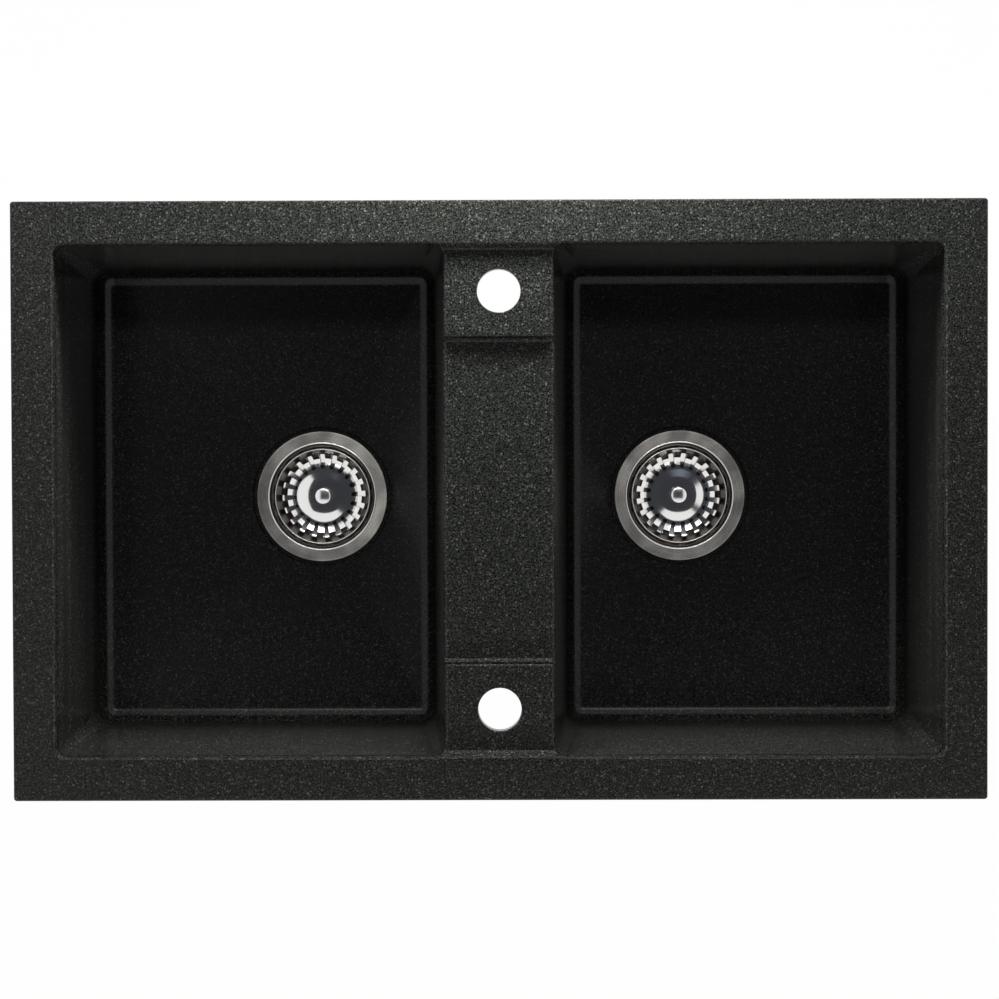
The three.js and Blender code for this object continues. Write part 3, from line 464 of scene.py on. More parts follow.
@dataclass(frozen=True)
class PlatedMetal(PatchyFinish):
    """Steel with bright zinc on it, or bare turned brass.

    The plating is a little cloudy, and finger marks dull it in patches.
    """

    def sockets(self, tree: NodeTree, coords: NodeSocket) -> dict[str, object]:
        """Give a cloudy metal."""
        return {**self.drift(tree, coords)[1], "Metallic": 1.0}


@dataclass(frozen=True)
class PolishedSteel(PlatedMetal):
    """Stainless steel, buffed bright, of one colour.

    It mirrors the room, and faint wipes of the buffing wheel break the mirror.
    """

    name: str = "polished_steel"
    patches: Clouds = Clouds("#e4e3e2", "#e4e3e2", 9.0, 4.0)
    smooth: float = 0.03
    dull: float = 0.11


@dataclass(frozen=True)
class MouldedPolymer(PatchyFinish):
    """Rubber, foam or plastic out of a mould.

    The mould's spark-eroded face leaves a fine grain, which takes the edge off the gloss.
    """

    grain_depth: float
    grain_strength: float = 0.7

    def sockets(self, tree: NodeTree, coords: NodeSocket) -> dict[str, object]:
        """Give a plain polymer with a fine grain.

        Args:
            tree: The material's tree.
            coords: Coordinates in metres.

        Returns:
            The shader's values and links.
        """
        plain, drift = self.drift(tree, coords)
        normal = add_node(tree, "Bump", {
            "Height": plain, "Distance": self.grain_depth * MM, "Strength": self.grain_strength})
        return {**drift, "IOR": PLASTIC_IOR, "Normal": normal}


class Finishes:
    """The sink's materials, each made once."""

    def __init__(self, waste_middles: dict[str, Vector]) -> None:
        """Make all materials.

        Args:
            waste_middles: The middle of each waste, in millimetres.
        """
        finishes = {
            Slot.GRANITE: GraniteComposite(),
            Slot.POLISHED_STEEL: PolishedSteel(),
            Slot.ZINC_STEEL: PlatedMetal(
                "zinc_plated_steel", Clouds("#b4b6b8", "#9c9ea1", 3.0, 4.0), 0.28, 0.42),
            Slot.BRASS: PlatedMetal(
                "turned_brass", Clouds("#c8a35a", "#b08c48", 3.0, 4.0), 0.22, 0.36),
            Slot.RUBBER: MouldedPolymer(
                "nitrile_rubber", Clouds("#161719", "#1d1e20", 0.5, 3.0), 0.57, 0.67, 0.02),
            Slot.SEAL_FOAM: MouldedPolymer(
                "closed_cell_foam", Clouds("#333436", "#424346", 0.9, 3.0), 0.85, 0.95, 0.15),
            Slot.BLACK_PLASTIC: MouldedPolymer(
                "polypropylene", Clouds("#17181a", "#1c1d1f", 0.6, 3.0), 0.37, 0.47, 0.02),
            Slot.PALE_PLASTIC: MouldedPolymer(
                "natural_acetal", Clouds("#d6d6d2", "#cfcfca", 0.8, 3.0), 0.35, 0.45, 0.015),
        }
        self.by_slot = {slot: finish.build() for slot, finish in finishes.items()}
        knob = PolishedSteel("turned_polished_steel", smooth=0.10, dull=0.18).build()
        self.by_piece = {}
        for side, middle in waste_middles.items():
            self.by_piece |= {
                f"{side}_cup_pressing": TurnedBrushedSteel(f"brushed_steel_{side}", middle).build(),
                f"{side}_basket_pressing": BasketSteelWithPaintedShade(f"basket_steel_{side}", middle).build(),
                f"{side}_knob_piece": knob}

    def pick(self, slot: Slot, name: str) -> Material:
        """Give a piece's own material, or else that of its slot."""
        return self.by_piece.get(name) or self.by_slot[slot]


# ---------------------------------------------------------------- workshop


class Corner(NamedTuple):
    """A corner of an outline; ease is how much of each edge its round takes up."""

    across: float
    up: float
    ease: float = 0.0


Outline = Sequence[tuple[float, ...]]  # each corner as across, up and, where it is round, ease


@dataclass(frozen=True)
class Rectangle:
    """A rectangle in plan, in millimetres."""

    left: float
    right: float
    front: float
    back: float

    def grown(self, by: float) -> "Rectangle":
        """Give the rectangle with every side moved out by a distance."""
        return Rectangle(self.left - by, self.right + by, self.front - by, self.back + by)

    def outline(self, ease: float = 0.0) -> Outline:
        """Give its corners, each with the same round."""
        return [(self.left, self.front, ease), (self.right, self.front, ease),
                (self.right, self.back, ease), (self.left, self.back, ease)]


def quarter(segments: int) -> list[tuple[float, float]]:
    """Give a quarter round of radius 1, step by step, as pairs of inset and rise."""
    angles = [math.pi / 2 * i / segments for i in range(segments + 1)]
    return [(1 - math.cos(angle), math.sin(angle)) for angle in angles]


def draw_outline(bm: BMesh, outline: Outline, place: Callable[[Corner], Vector],
                 segments: int = 1, closes: bool = True) -> list[BMEdge]:
    """Draw a wire through corners and round the ones that have an ease.

    Args:
        bm: The mesh that takes the wire.
        outline: The corners in order.
        place: Turns a corner into a point.
        segments: Segments of a round.
        closes: Whether the last corner is joined to the first.

    Returns:
        The wire's edges.
    """
    others = set(bm.edges)
    corners = [Corner(*corner) for corner in outline]
    verts = [bm.verts.new(place(corner)) for corner in corners]
    for start, end in pairwise(verts):
        bm.edges.new((start, end))
    if closes:
        bm.edges.new((verts[-1], verts[0]))
    for vert, corner in zip(verts, corners):
        if corner.ease > 0:
            bmesh.ops.bevel(bm, geom=[vert], offset=corner.ease, segments=segments, profile=0.5,
                            affect="VERTICES", material=-1)
    return [edge for edge in bm.edges if edge not in others]


def ring(bm: BMesh, plan: Rectangle, radius: float, z: float, divisions: int = 1) -> list[BMEdge]:
    """Draw a rectangle with round corners at one height.

    Args:
        bm: The mesh that takes it.
        plan: The rectangle.
        radius: Radius of its corners.
        z: Its height.
        divisions: Parts of each straight side.

    Returns:
        Its edges.
    """
    edges = draw_outline(bm, plan.outline(radius), lambda c: Vector((c.across, c.up, z)),
                         CORNER_SEGMENTS)
    if divisions > 1:
        sides = sorted(edges, key=lambda edge: edge.calc_length())[-4:]
        parts = bmesh.ops.subdivide_edges(bm, edges=sides, cuts=divisions - 1)["geom_inner"]
        edges = list({*edges, *(e for v in parts if isinstance(v, BMVert) for e in v.link_edges)})
    return edges


def settle(bm: BMesh) -> BMesh:
    """Merge doubled points and turn the faces of a closed mesh outwards.

    Args:
        bm: The mesh.

    Returns:
        The same mesh.
    """
    bmesh.ops.remove_doubles(bm, verts=bm.verts, dist=DOUBLED)
    bmesh.ops.recalc_face_normals(bm, faces=bm.faces)
    return bm


def skinned(bm: BMesh, rings: Sequence[list[BMEdge]], closes: bool = False) -> BMesh:
    """Bridge rings of edges into a solid.

    Args:
        bm: Their mesh.
        rings: The rings in order.
        closes: Whether the last ring is bridged to the first, instead of both being filled.

    Returns:
        The same mesh, settled.
    """
    for first, second in pairwise([*rings, rings[0]] if closes else rings):
        bmesh.ops.bridge_loops(bm, edges=first + second)
    for end in () if closes else (rings[0], rings[-1]):
        bmesh.ops.contextual_create(bm, geom=end)
    return settle(bm)


def prism(outline: Outline, ends: tuple[float, float],
          place: Callable[[Corner, float], Vector]) -> BMesh:
    """Stretch an outline between two ends.

    Args:
        outline: Its corners in order.
        ends: Where the two ends are.
        place: Turns a corner and an end into a point.

    Returns:
        The closed solid.
    """
    bm = bmesh.new()
    return skinned(bm, [draw_outline(bm, outline, lambda c, end=end: place(c, end)) for end in ends])


def spun(outline: Outline, segments: int, rounding: int, closes: bool) -> BMesh:
    """Draw an upright profile and spin it once about the vertical axis.

    Args:
        outline: The profile.
        segments: Segments of the full turn.
        rounding: Segments of each round of the profile.
        closes: Whether the profile closes on itself.

    Returns:
        The surface that it sweeps.
    """
    bm = bmesh.new()
    draw_outline(bm, outline, lambda c: Vector((c.across, 0, c.up)), rounding, closes)
    bmesh.ops.spin(bm, geom=bm.verts[:] + bm.edges[:], axis=(0, 0, 1), cent=(0, 0, 0),
                   angle=2 * math.pi, steps=segments, use_merge=True)
    return settle(bm)


def turned(outline: Outline, segments: int = ROUND) -> BMesh:
    """Turn a profile, from the axis back to the axis or closing on itself, into a solid."""
    return spun(outline, segments, TURNED_SEGMENTS, outline[0][0] > 0)


def pressed(outline: Outline, thickness: float, segments: int = ROUND) -> BMesh:
    """Turn the upper face of a sheet and give it its thickness below.

    Args:
        outline: The upper face's profile, from the middle outwards.
        thickness: The sheet's thickness.
        segments: Segments of the full turn.

    Returns:
        The closed sheet.
    """
    bm = spun(outline, segments, FILLET_SEGMENTS, False)
    if sum(face.normal.z * face.calc_area() for face in bm.faces) < 0:
        bmesh.ops.reverse_faces(bm, faces=bm.faces)
    bmesh.ops.solidify(bm, geom=bm.faces[:], thickness=thickness)
    return settle(bm)


def plate(outline: Outline, bottom: float, top: float, segments: int = 8) -> BMesh:
    """Cut a plate of an outline in plan.

    Args:
        outline: The outline, across as x and up as y.
        bottom: Height of its lower face.
        top: Height of its upper face.
        segments: Segments of each round corner.

    Returns:
        The closed plate.
    """
    bm = bmesh.new()
    edges = draw_outline(bm, outline, lambda c: Vector((c.across, c.up, bottom)), segments)
    base = bmesh.ops.contextual_create(bm, geom=edges)["faces"]
    raised = bmesh.ops.extrude_face_region(bm, geom=base, use_keep_orig=True)["geom"]
    bmesh.ops.translate(bm, verts=[v for v in raised if isinstance(v, BMVert)],
                        vec=(0, 0, top - bottom))
    return settle(bm)


def rod(radius: float, bottom: float, top: float, segments: int = SMALL_ROUND,
        at: Vector = ORIGIN) -> BMesh:
    """Make an upright round bar or cutter.

    Args:
        radius: Its radius.
        bottom: Height of its lower end.
        top: Height of its upper end.
        segments: Segments round it.
        at: Its place in plan.

    Returns:
        The closed bar.
    """
    bm = bmesh.new()
    middle = Matrix.Translation((at.x, at.y, (bottom + top) / 2))
    bmesh.ops.create_cone(bm, cap_ends=True, segments=segments, radius1=radius, radius2=radius,
                          depth=top - bottom, matrix=middle)
    return bm


def cross(arm: float, width: float, bottom: float, top: float) -> list[BMesh]:
    """Make the two bars of an upright cross about the axis, from their half length and width."""
    return [plate(Rectangle(-a, a, -b, b).outline(), bottom, top)
            for a, b in ((arm, width), (width, arm))]


def placed(bm: BMesh, turn: float = 0.0, at: Vector = ORIGIN) -> BMesh:
    """Turn a mesh about the vertical axis by degrees, then move it."""
    bmesh.ops.transform(bm, matrix=Matrix.Translation(at) @ Matrix.Rotation(
        math.radians(turn), 4, "Z"), verts=bm.verts)
    return bm


def worked(body: BMesh, tools: Iterable[BMesh], cut: Cut) -> BMesh:
    """Join tools to a body, or cut them out of it.

    Args:
        body: The closed body, which is used up.
        tools: Closed tools, which are used up.
        cut: What the tools do.

    Returns:
        The new body.
    """
    group = bpy.data.collections.new("tools")
    bpy.context.scene.collection.children.link(group)
    bench = []
    for number, bm in enumerate([body, *tools]):
        mesh = bpy.data.meshes.new("bench")
        bm.to_mesh(mesh)
        bm.free()
        item = bpy.data.objects.new("bench", mesh)
        (group if number else bpy.context.scene.collection).objects.link(item)
        bench.append(item)
    modifier = bench[0].modifiers.new("cut", "BOOLEAN")
    modifier.operation = cut.value
    modifier.solver = "EXACT"
    modifier.operand_type = "COLLECTION"
    modifier.collection = group
    result = bmesh.new()
    result.from_mesh(bench[0].evaluated_get(bpy.context.evaluated_depsgraph_get()).to_mesh())
    for item in bench:
        mesh = item.data
        bpy.data.objects.remove(item)
        bpy.data.meshes.remove(mesh)
    bpy.data.collections.remove(group)
    return result


def eased(bm: BMesh, radius: float) -> BMesh:
    """Round the sharp edges of a solid.

    Args:
        bm: The solid.
        radius: How far the round reaches from each edge.

    Returns:
        The same solid.
    """
    edges = [edge for edge in bm.edges
             if len(edge.link_faces) == 2 and edge.calc_face_angle(0) > SHARP]
    bmesh.ops.bevel(bm, geom=edges, offset=radius, segments=2, profile=0.5, affect="EDGES",
                    clamp_overlap=True, material=-1)
    return bm


def put_in_scene(name: str, bm: BMesh, material: Material) -> bpy.types.Object:
    """Make an object at the origin.

    Args:
        name: Its name.
        bm: Its mesh in metres, which is used up.
        material: Its material.

    Returns:
        The object.
    """
    mesh = bpy.data.meshes.new(name)
    bm.to_mesh(mesh)
    bm.free()
    mesh.materials.append(material)
    item = bpy.data.objects.new(name, mesh)
    bpy.context.scene.collection.objects.link(item)
    return item


@dataclass
class Workshop:
    """Turns finished meshes into pieces of the sink and counts them."""

    finishes: Finishes
    made: list[str] = field(default_factory=list)

    def deliver(self, name: str, bm: BMesh, slot: Slot, body: str, node: str,
                weighted: bool = False) -> None:
        """Make a piece of a mesh, dress it and tie it to the frame.

        Args:
            name: The piece's name.
            bm: Its mesh in millimetres, which is used up.
            slot: Its finish.
            body: The body that it rides on.
            node: The node that it stands for.
            weighted: Whether large faces keep their shading flat.
        """
        bmesh.ops.scale(bm, vec=(MM, MM, MM), verts=bm.verts)
        for face in bm.faces:
            face.smooth = True
        for edge in bm.edges:
            edge.smooth = edge.calc_face_angle(0) < SHARP
        piece = put_in_scene(name, bm, self.finishes.pick(slot, name))
        if weighted:
            piece.modifiers.new("flat_faces", "WEIGHTED_NORMAL").keep_sharp = True
        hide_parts(node)
        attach(piece, body)
        self.made.append(name)
        log.info("%s: %d faces", name, len(piece.data.polygons))


# ---------------------------------------------------------------- basin


@dataclass
class Basin:
    """The moulding: a rim, two bowls, and a stepped bridge with two tap holes."""

    rim_edge: float = 1.6
    rim_corner: float = 2.5
    side_land: float = 33.8
    end_land: float = 34.6
    overlap: float = 10.0
    seal_lip: float = 1.5
    seal_edge: float = 0.4
    groove_depth: float = 2.0
    bowl_depth: float = 190.0
    lip: float = 2.0
    mouth_corner: float = 8.0
    foot_corner: float = 14.0
    least_corner: float = 0.8
    least_outer_corner: float = 1.5
    cove: float = 13.0
    wall: float = 9.0
    side_draft: float = 2.5
    end_draft: float = 3.2
    bridge_draft: float = 4.4
    floor_fall: float = 2.5
    floor_divisions: int = 12
    bridge_width: float = 88.8
    bridge_edge: float = 2.6
    bridge_end_edge: float = 0.05
    bridge_thickness: float = 10.0
    ledge_drop: float = 7.0
    middle_drop: float = 14.0
    middle_length: float = 260.0
    step_run: float = 6.0
    step_segments: int = 8
    tap_hole: float = 35.0
    tap_hole_edge: float = 0.6
    tap_hole_spacing: float = 336.0
    web_thickness: float = 8.0
    web_depth: float = 42.0
    web_spacing: float = 196.0
    seat_radius: float = 59.5
    seat_drop: float = 3.8
    seat_edge: float = 1.3
    dish_radius: float = 66.0
    waste_hole_radius: float = 45.0
    pad_radius: float = 64.0
    pad_thickness: float = 9.0
    boss_depth: float = 26.0
    boss_wall: float = 3.1
    screw_bore: float = 3.3
    screw_end: float = -6.0
    waste_middles: Sequence[Vector] = ()
    clip_places: Sequence["ClipPlace"] = ()

    def __post_init__(self) -> None:
        """Take the outer sizes from the frame and work out the levels."""
        low, high = (Vector(corner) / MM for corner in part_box("sink_basin"))
        self.rim = Rectangle(low.x, high.x, low.y, high.y)
        self.top = high.z
        self.half_length = high.x - self.side_land
        self.half_width = high.y - self.end_land
        self.ledge = self.top - self.ledge_drop
        self.middle = self.top - self.middle_drop
        self.bridge_foot = self.middle - self.bridge_thickness
        self.cove_top = self.top - self.bowl_depth + self.cove
        self.dish = self.top - self.bowl_depth - self.floor_fall
        self.seat = self.dish - self.seat_drop
        self.pad_face = self.seat - self.pad_thickness

    def bridge_side(self, z: float) -> float:
        """Give how far the bridge side of a bowl is from the middle at a height."""
        return self.bridge_width / 2 + (self.middle - z) * math.tan(math.radians(self.bridge_draft))

    def bowl_plan(self, z: float) -> Rectangle:
        """Give the right bowl's inner walls in plan.

        Args:
            z: A height.

        Returns:
            The walls at that height.
        """
        depth = self.top - z
        half_width = self.half_width - depth * math.tan(math.radians(self.end_draft))
        right = self.half_length - depth * math.tan(math.radians(self.side_draft))
        return Rectangle(self.bridge_side(z), right, -half_width, half_width)

    def corner_at(self, z: float) -> float:
        """Give the radius of a bowl's upright corners at a height."""
        share = (self.top - z) / (self.top - self.cove_top)
        return self.mouth_corner + share * (self.foot_corner - self.mouth_corner)

    def bowl_hollow(self) -> BMesh:
        """Make the hollow of the right bowl, from above the rim down to its round patch.

        Returns:
            The hollow as a solid.
        """
        bm = bmesh.new()
        above = self.bowl_plan(self.top).grown(self.lip)
        rings = [ring(bm, above, self.mouth_corner + self.lip, self.top + self.lip,
                      self.floor_divisions)]
        for inset, rise in reversed(quarter(FILLET_SEGMENTS)):
            flare, z = self.lip * inset, self.top - self.lip * (1 - rise)
            rings.append(ring(bm, self.bowl_plan(z).grown(flare), self.corner_at(z) + flare, z,
                              self.floor_divisions))
        for inset, rise in quarter(COVE_SEGMENTS):
            radius = max(self.foot_corner - self.cove * inset, self.least_corner)
            rings.append(ring(bm, self.bowl_plan(self.cove_top).grown(-self.cove * inset), radius,
                              self.cove_top - self.cove * rise, self.floor_divisions))
        drain = Vector((self.waste_middles[1].x, 0, self.dish))
        patch = bmesh.ops.extrude_edge_only(bm, edges=rings[-1])["geom"]
        for vert in (v for v in patch if isinstance(v, BMVert)):
            spoke = Vector((vert.co.x, vert.co.y, self.dish)) - drain
            vert.co = drain + spoke.normalized() * self.dish_radius
        for lower, upper in pairwise(rings):
            bmesh.ops.bridge_loops(bm, edges=lower + upper)
        bmesh.ops.contextual_create(bm, geom=rings[0])
        bmesh.ops.contextual_create(bm, geom=[e for e in patch if isinstance(e, BMEdge)
                                              and all(v in patch for v in e.verts)])
        return settle(bm)

    def bowl_shell(self) -> BMesh:
        """Make the right bowl's outer body, solid, up into the rim.

        Returns:
            The body.
        """
        bm = bmesh.new()
        rings = [ring(bm, self.bowl_plan(0).grown(self.wall), self.corner_at(0) + self.wall,
                      self.top / 2)]
        radius = self.cove + self.wall
        for share, rise in quarter(FILLET_SEGMENTS):
            inset = radius * share - self.wall
            corner = max(self.foot_corner - inset, self.least_outer_corner)
            rings.append(ring(bm, self.bowl_plan(self.cove_top).grown(-inset), corner,
                              self.cove_top - radius * rise))
        return skinned(bm, rings)

    def slab(self) -> BMesh:
        """Make the rim as a whole slab with a round upper edge.

        Returns:
            The slab.
        """
        bm = bmesh.new()
        rings = [ring(bm, self.rim, self.rim_corner, 0)]
        for share, rise in quarter(FILLET_SEGMENTS):
            inset = self.rim_edge * share
            rings.append(ring(bm, self.rim.grown(-inset), self.rim_corner - inset,
                              self.top - self.rim_edge * (1 - rise)))
        return skinned(bm, rings)

    def seal_ring(self, slack: float, bottom: float) -> BMesh:
        """Make a square bar that runs round under the rim.

        Args:
            slack: How much smaller it is than the seal's groove on its sides and on top.
            bottom: Height of its lower face.

        Returns:
            The closed ring.
        """
        bm = bmesh.new()
        outer, inner = self.seal_lip + slack, self.overlap - self.seal_lip - slack
        top = self.groove_depth - slack
        return skinned(bm, [ring(bm, self.rim.grown(-inset), self.rim_corner, z) for inset, z in (
            (outer, bottom), (outer, top), (inner, top), (inner, bottom))], closes=True)

    def bridge_beam(self) -> list[BMesh]:
        """Make the beam of the bridge and the webs under it.

        Returns:
            The beam and the webs.
        """
        def bar(middle: float, half: float, bottom: float, top: float) -> BMesh:
            """Make a bar across the bridge that meets both bowls' walls."""
            return prism(
                [(-1, middle - half), (1, middle - half), (1, middle + half), (-1, middle + half)],
                (bottom, top),
                lambda c, z: Vector((c.across * (self.bridge_side(z) - self.wall / 2), c.up, z)))

        webs = [bar(y, self.web_thickness / 2, self.bridge_foot - self.web_depth,
                    self.bridge_foot + OVERRUN)
                for y in (-self.web_spacing / 2, 0.0, self.web_spacing / 2)]
        return [bar(0, self.half_width + self.wall, self.bridge_foot, self.top / 2), *webs]

    def bridge_stations(self) -> list[tuple[float, float]]:
        """Give the height along the bridge, from front to back.

        Returns:
            Pairs of y and height: low in the middle, a tap ledge at each end, then the rim.
        """
        def step(middle: float, low: float, high: float) -> list[tuple[float, float]]:
            """Give the stations of one soft step."""
            shares = [i / self.step_segments for i in range(self.step_segments + 1)]
            return [(middle + self.step_run * (share - 0.5),
                     low + (high - low) * (1 - math.cos(math.pi * share)) / 2)
                    for share in shares]

        half = [*step(self.middle_length / 2, self.middle, self.ledge),
                (self.half_width - 2 * self.step_run, self.ledge),
                *step(self.half_width - self.lip, self.ledge, self.top),
                (self.half_width + self.step_run, self.top)]
        return [(-y, level) for y, level in reversed(half)] + half

    def bridge_hollow(self) -> BMesh:
        """Make what is taken away above the bridge.

        Its lower face is the bridge's top, with round edges down to the bowls.

        Returns:
            The hollow as a solid.
        """
        bm = bmesh.new()
        reach = self.bridge_width / 2 + self.mouth_corner + 2 * self.lip
        ceiling = self.top + 2 * self.lip
        rings = []
        for y, level in self.bridge_stations():
            inside = abs(y) <= self.half_width - 2 * self.step_run
            edge = self.bridge_edge if inside else self.bridge_end_edge
            side = self.bridge_side(level - edge)
            nearly = 0.98 * edge
            right = [(reach, ceiling), (reach, level - edge), (side, level - edge),
                     (side, level, nearly)]
            left = [(-across, *rest) for across, *rest in reversed(right)]
            rings.append(draw_outline(bm, right + left, lambda c, y=y: Vector((c.across, y, c.up)),
                                      FILLET_SEGMENTS))
        return skinned(bm, rings)

    def tap_hole_cutter(self, end: int) -> BMesh:
        """Make the cutter of a tap hole with an eased upper edge.

        Args:
            end: 1 for the back hole, -1 for the front one.

        Returns:
            The cutter.
        """
        radius, edge = self.tap_hole / 2, self.tap_hole_edge
        foot, above = self.bridge_foot - OVERRUN, self.ledge + OVERRUN
        cutter = turned([(0, foot), (radius, foot), (radius, self.ledge - edge),
                         (radius + edge + OVERRUN, above), (0, above)], FAIR_ROUND)
        return placed(cutter, at=Vector((0, end * self.tap_hole_spacing / 2, 0)))

    def seat_cutter(self) -> BMesh:
        """Make the cutter of a flange's seat, with an eased upper edge.

        Returns:
            The cutter, about the axis.
        """
        radius, edge, above = self.seat_radius, self.seat_edge, self.dish + OVERRUN
        return turned([(0, self.seat), (radius, self.seat), (radius, self.dish - edge, 0.3),
                       (radius + edge + OVERRUN, above), (0, above)], FINE_ROUND)

    def clip_boss(self, place: "ClipPlace") -> BMesh:
        """Make the boss for one clip screw: round outside, straight back into the wall.

        Args:
            place: Where the clip stands.

        Returns:
            The boss.
        """
        radius = self.screw_bore + self.boss_wall
        root, nearly = self.wall / 2 - place.stand_off, radius * 0.99
        outline = [(root, -radius), (radius, -radius, nearly), (radius, radius, nearly),
                   (root, radius)]
        return placed(plate(outline, -self.boss_depth, self.top / 2), place.facing, place.at)

    def build(self, shop: Workshop) -> None:
        """Build the basin and its seal.

        Args:
            shop: The workshop that delivers them.
        """
        def both(make: Callable[[], BMesh]) -> list[BMesh]:
            """Make a right part and its mirror image.

            Args:
                make: Makes the right one.

            Returns:
                The two.
            """
            right, left = make(), make()
            bmesh.ops.scale(left, vec=(-1, 1, 1), verts=left.verts)
            return [right, settle(left)]

        pads, seats, holes = [], [], []
        for at in self.waste_middles:
            pads.append(rod(self.pad_radius, self.pad_face, self.dish - OVERRUN, FINE_ROUND, at))
            seats.append(placed(self.seat_cutter(), at=at))
            holes.append(rod(self.waste_hole_radius, self.pad_face - OVERRUN, self.dish,
                             FINE_ROUND, at))
        bosses = [self.clip_boss(place) for place in self.clip_places]
        bores = [rod(self.screw_bore, -self.boss_depth - OVERRUN, self.screw_end, SMALL_ROUND,
                     place.at) for place in self.clip_places]
        body = worked(self.slab(), [*both(self.bowl_shell), *self.bridge_beam(), *pads, *bosses],
                      Cut.ADD)
        body = worked(body, [
            *both(self.bowl_hollow), self.bridge_hollow(), self.tap_hole_cutter(1),
            self.tap_hole_cutter(-1), *seats, *holes, *bores, self.seal_ring(0, -OVERRUN)],
            Cut.TAKE_AWAY)
        shop.deliver("basin_moulding", body, Slot.GRANITE, "sink", "sink_basin", weighted=True)
        shop.deliver("rim_seal_strip", eased(self.seal_ring(CLEARANCE, 0), self.seal_edge),
                     Slot.SEAL_FOAM, "sink", "rim_seal")


# ---------------------------------------------------------------- swing clips


@dataclass(frozen=True)
class ClipPlace:
    """Where a swing clip stands, and which way it faces, in degrees."""

    number: int
    at: Vector
    facing: float
    stand_off: float


@dataclass
class SwingClip:
    """A screw that hangs from the basin, and the toothed claw that it pulls up."""

    place: ClipPlace
    screw_radius: float = 3.0
    thread_pitch: float = 2.0
    thread_depth: float = 0.35
    thread_start: float = 2.0
    tip: float = 1.5
    tip_taper: float = 0.8
    head_radius: float = 5.5
    head_height: float = 3.6
    recess: float = 6.4
    recess_width: float = 1.3
    recess_depth: float = 1.8
    claw_width: float = 12.8
    claw_reach: float = 30.0
    claw_thickness: float = 2.0
    claw_edge: float = 0.22
    bite_height: float = 5.0
    tooth_depth: float = 2.0
    teeth: int = 3

    def screw(self, top: float, head: float) -> BMesh:
        """Make the screw, head down.

        Args:
            top: Height of the screw's end.
            head: Height of the head's bearing face.

        Returns:
            The screw.
        """
        foot = head - self.head_height
        root = self.screw_radius - self.thread_depth
        start, end = head + self.thread_start, top - self.tip
        thread = []
        for i in range(int((end - start) / self.thread_pitch)):
            z = start + i * self.thread_pitch
            thread += [(root, z), (self.screw_radius, z + self.thread_pitch / 2)]
        shape = turned([
            (0, foot), (self.head_radius, foot, 1.4), (self.head_radius, head, 0.3),
            (self.screw_radius, head), *thread, (root, end), (root - self.tip_taper, top), (0, top)],
            SMALL_ROUND)
        arms = cross(self.recess / 2, self.recess_width / 2, foot - OVERRUN, foot + self.recess_depth)
        return worked(shape, arms, Cut.TAKE_AWAY)

    def claw(self, foot: float) -> BMesh:
        """Make the claw along +X: a round heel, a flat arm and a turned-up toothed end.

        Args:
            foot: Height of its underside.

        Returns:
            The claw.
        """
        side, reach = self.claw_width / 2, self.claw_reach
        heel = side * 0.99
        arm = plate([(-side, -side, heel), (reach, -side), (reach, side), (-side, side, heel)],
                    foot, foot + self.claw_thickness, 16)
        half_way = foot + self.claw_thickness / 2
        top = half_way + self.bite_height
        bite = plate(Rectangle(reach - self.claw_thickness, reach, -side, side).outline(),
                     half_way, top)
        body = worked(arm, [bite], Cut.ADD)
        pitch = self.claw_width / self.teeth
        gullets = [self.gullet(-side + i * pitch, pitch, top) for i in range(self.teeth + 1)]
        bore = rod(self.screw_radius + CLEARANCE, foot - OVERRUN,
                   foot + self.claw_thickness + OVERRUN)
        return eased(worked(body, [bore, *gullets], Cut.TAKE_AWAY), self.claw_edge)

    def gullet(self, y: float, pitch: float, top: float) -> BMesh:
        """Make the cutter between two teeth, a wedge across the claw's end.

        Args:
            y: Where the gullet is deepest.
            pitch: Distance between teeth.
            top: Height of the teeth.

        Returns:
            The wedge.
        """
        spread = pitch / 2 * (self.tooth_depth + OVERRUN) / self.tooth_depth
        return prism([(y, top - self.tooth_depth), (y + spread, top + OVERRUN),
                      (y - spread, top + OVERRUN)],
                     (self.claw_reach - self.claw_thickness - OVERRUN, self.claw_reach + OVERRUN),
                     lambda c, x: Vector((x, c.across, c.up)))

    def build(self, shop: Workshop) -> None:
        """Build the screw and the claw, folded along the wall.

        Args:
            shop: The workshop that delivers them.
        """
        number, at = self.place.number, self.place.at
        screw_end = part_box(f"clip_screw_{number}")[1][2] / MM
        claw_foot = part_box(f"clip_claw_{number}")[0][2] / MM
        screw = placed(self.screw(screw_end, claw_foot - CLEARANCE), at=at)
        shop.deliver(f"clip_screw_piece_{number}", screw, Slot.ZINC_STEEL, "sink",
                     f"clip_screw_{number}")
        claw = placed(self.claw(claw_foot), self.place.facing - math.copysign(90, at.x), at)
        shop.deliver(f"clip_claw_piece_{number}", claw, Slot.ZINC_STEEL, f"claw_{number}",
                     f"clip_claw_{number}")


# ---------------------------------------------------------------- wastes


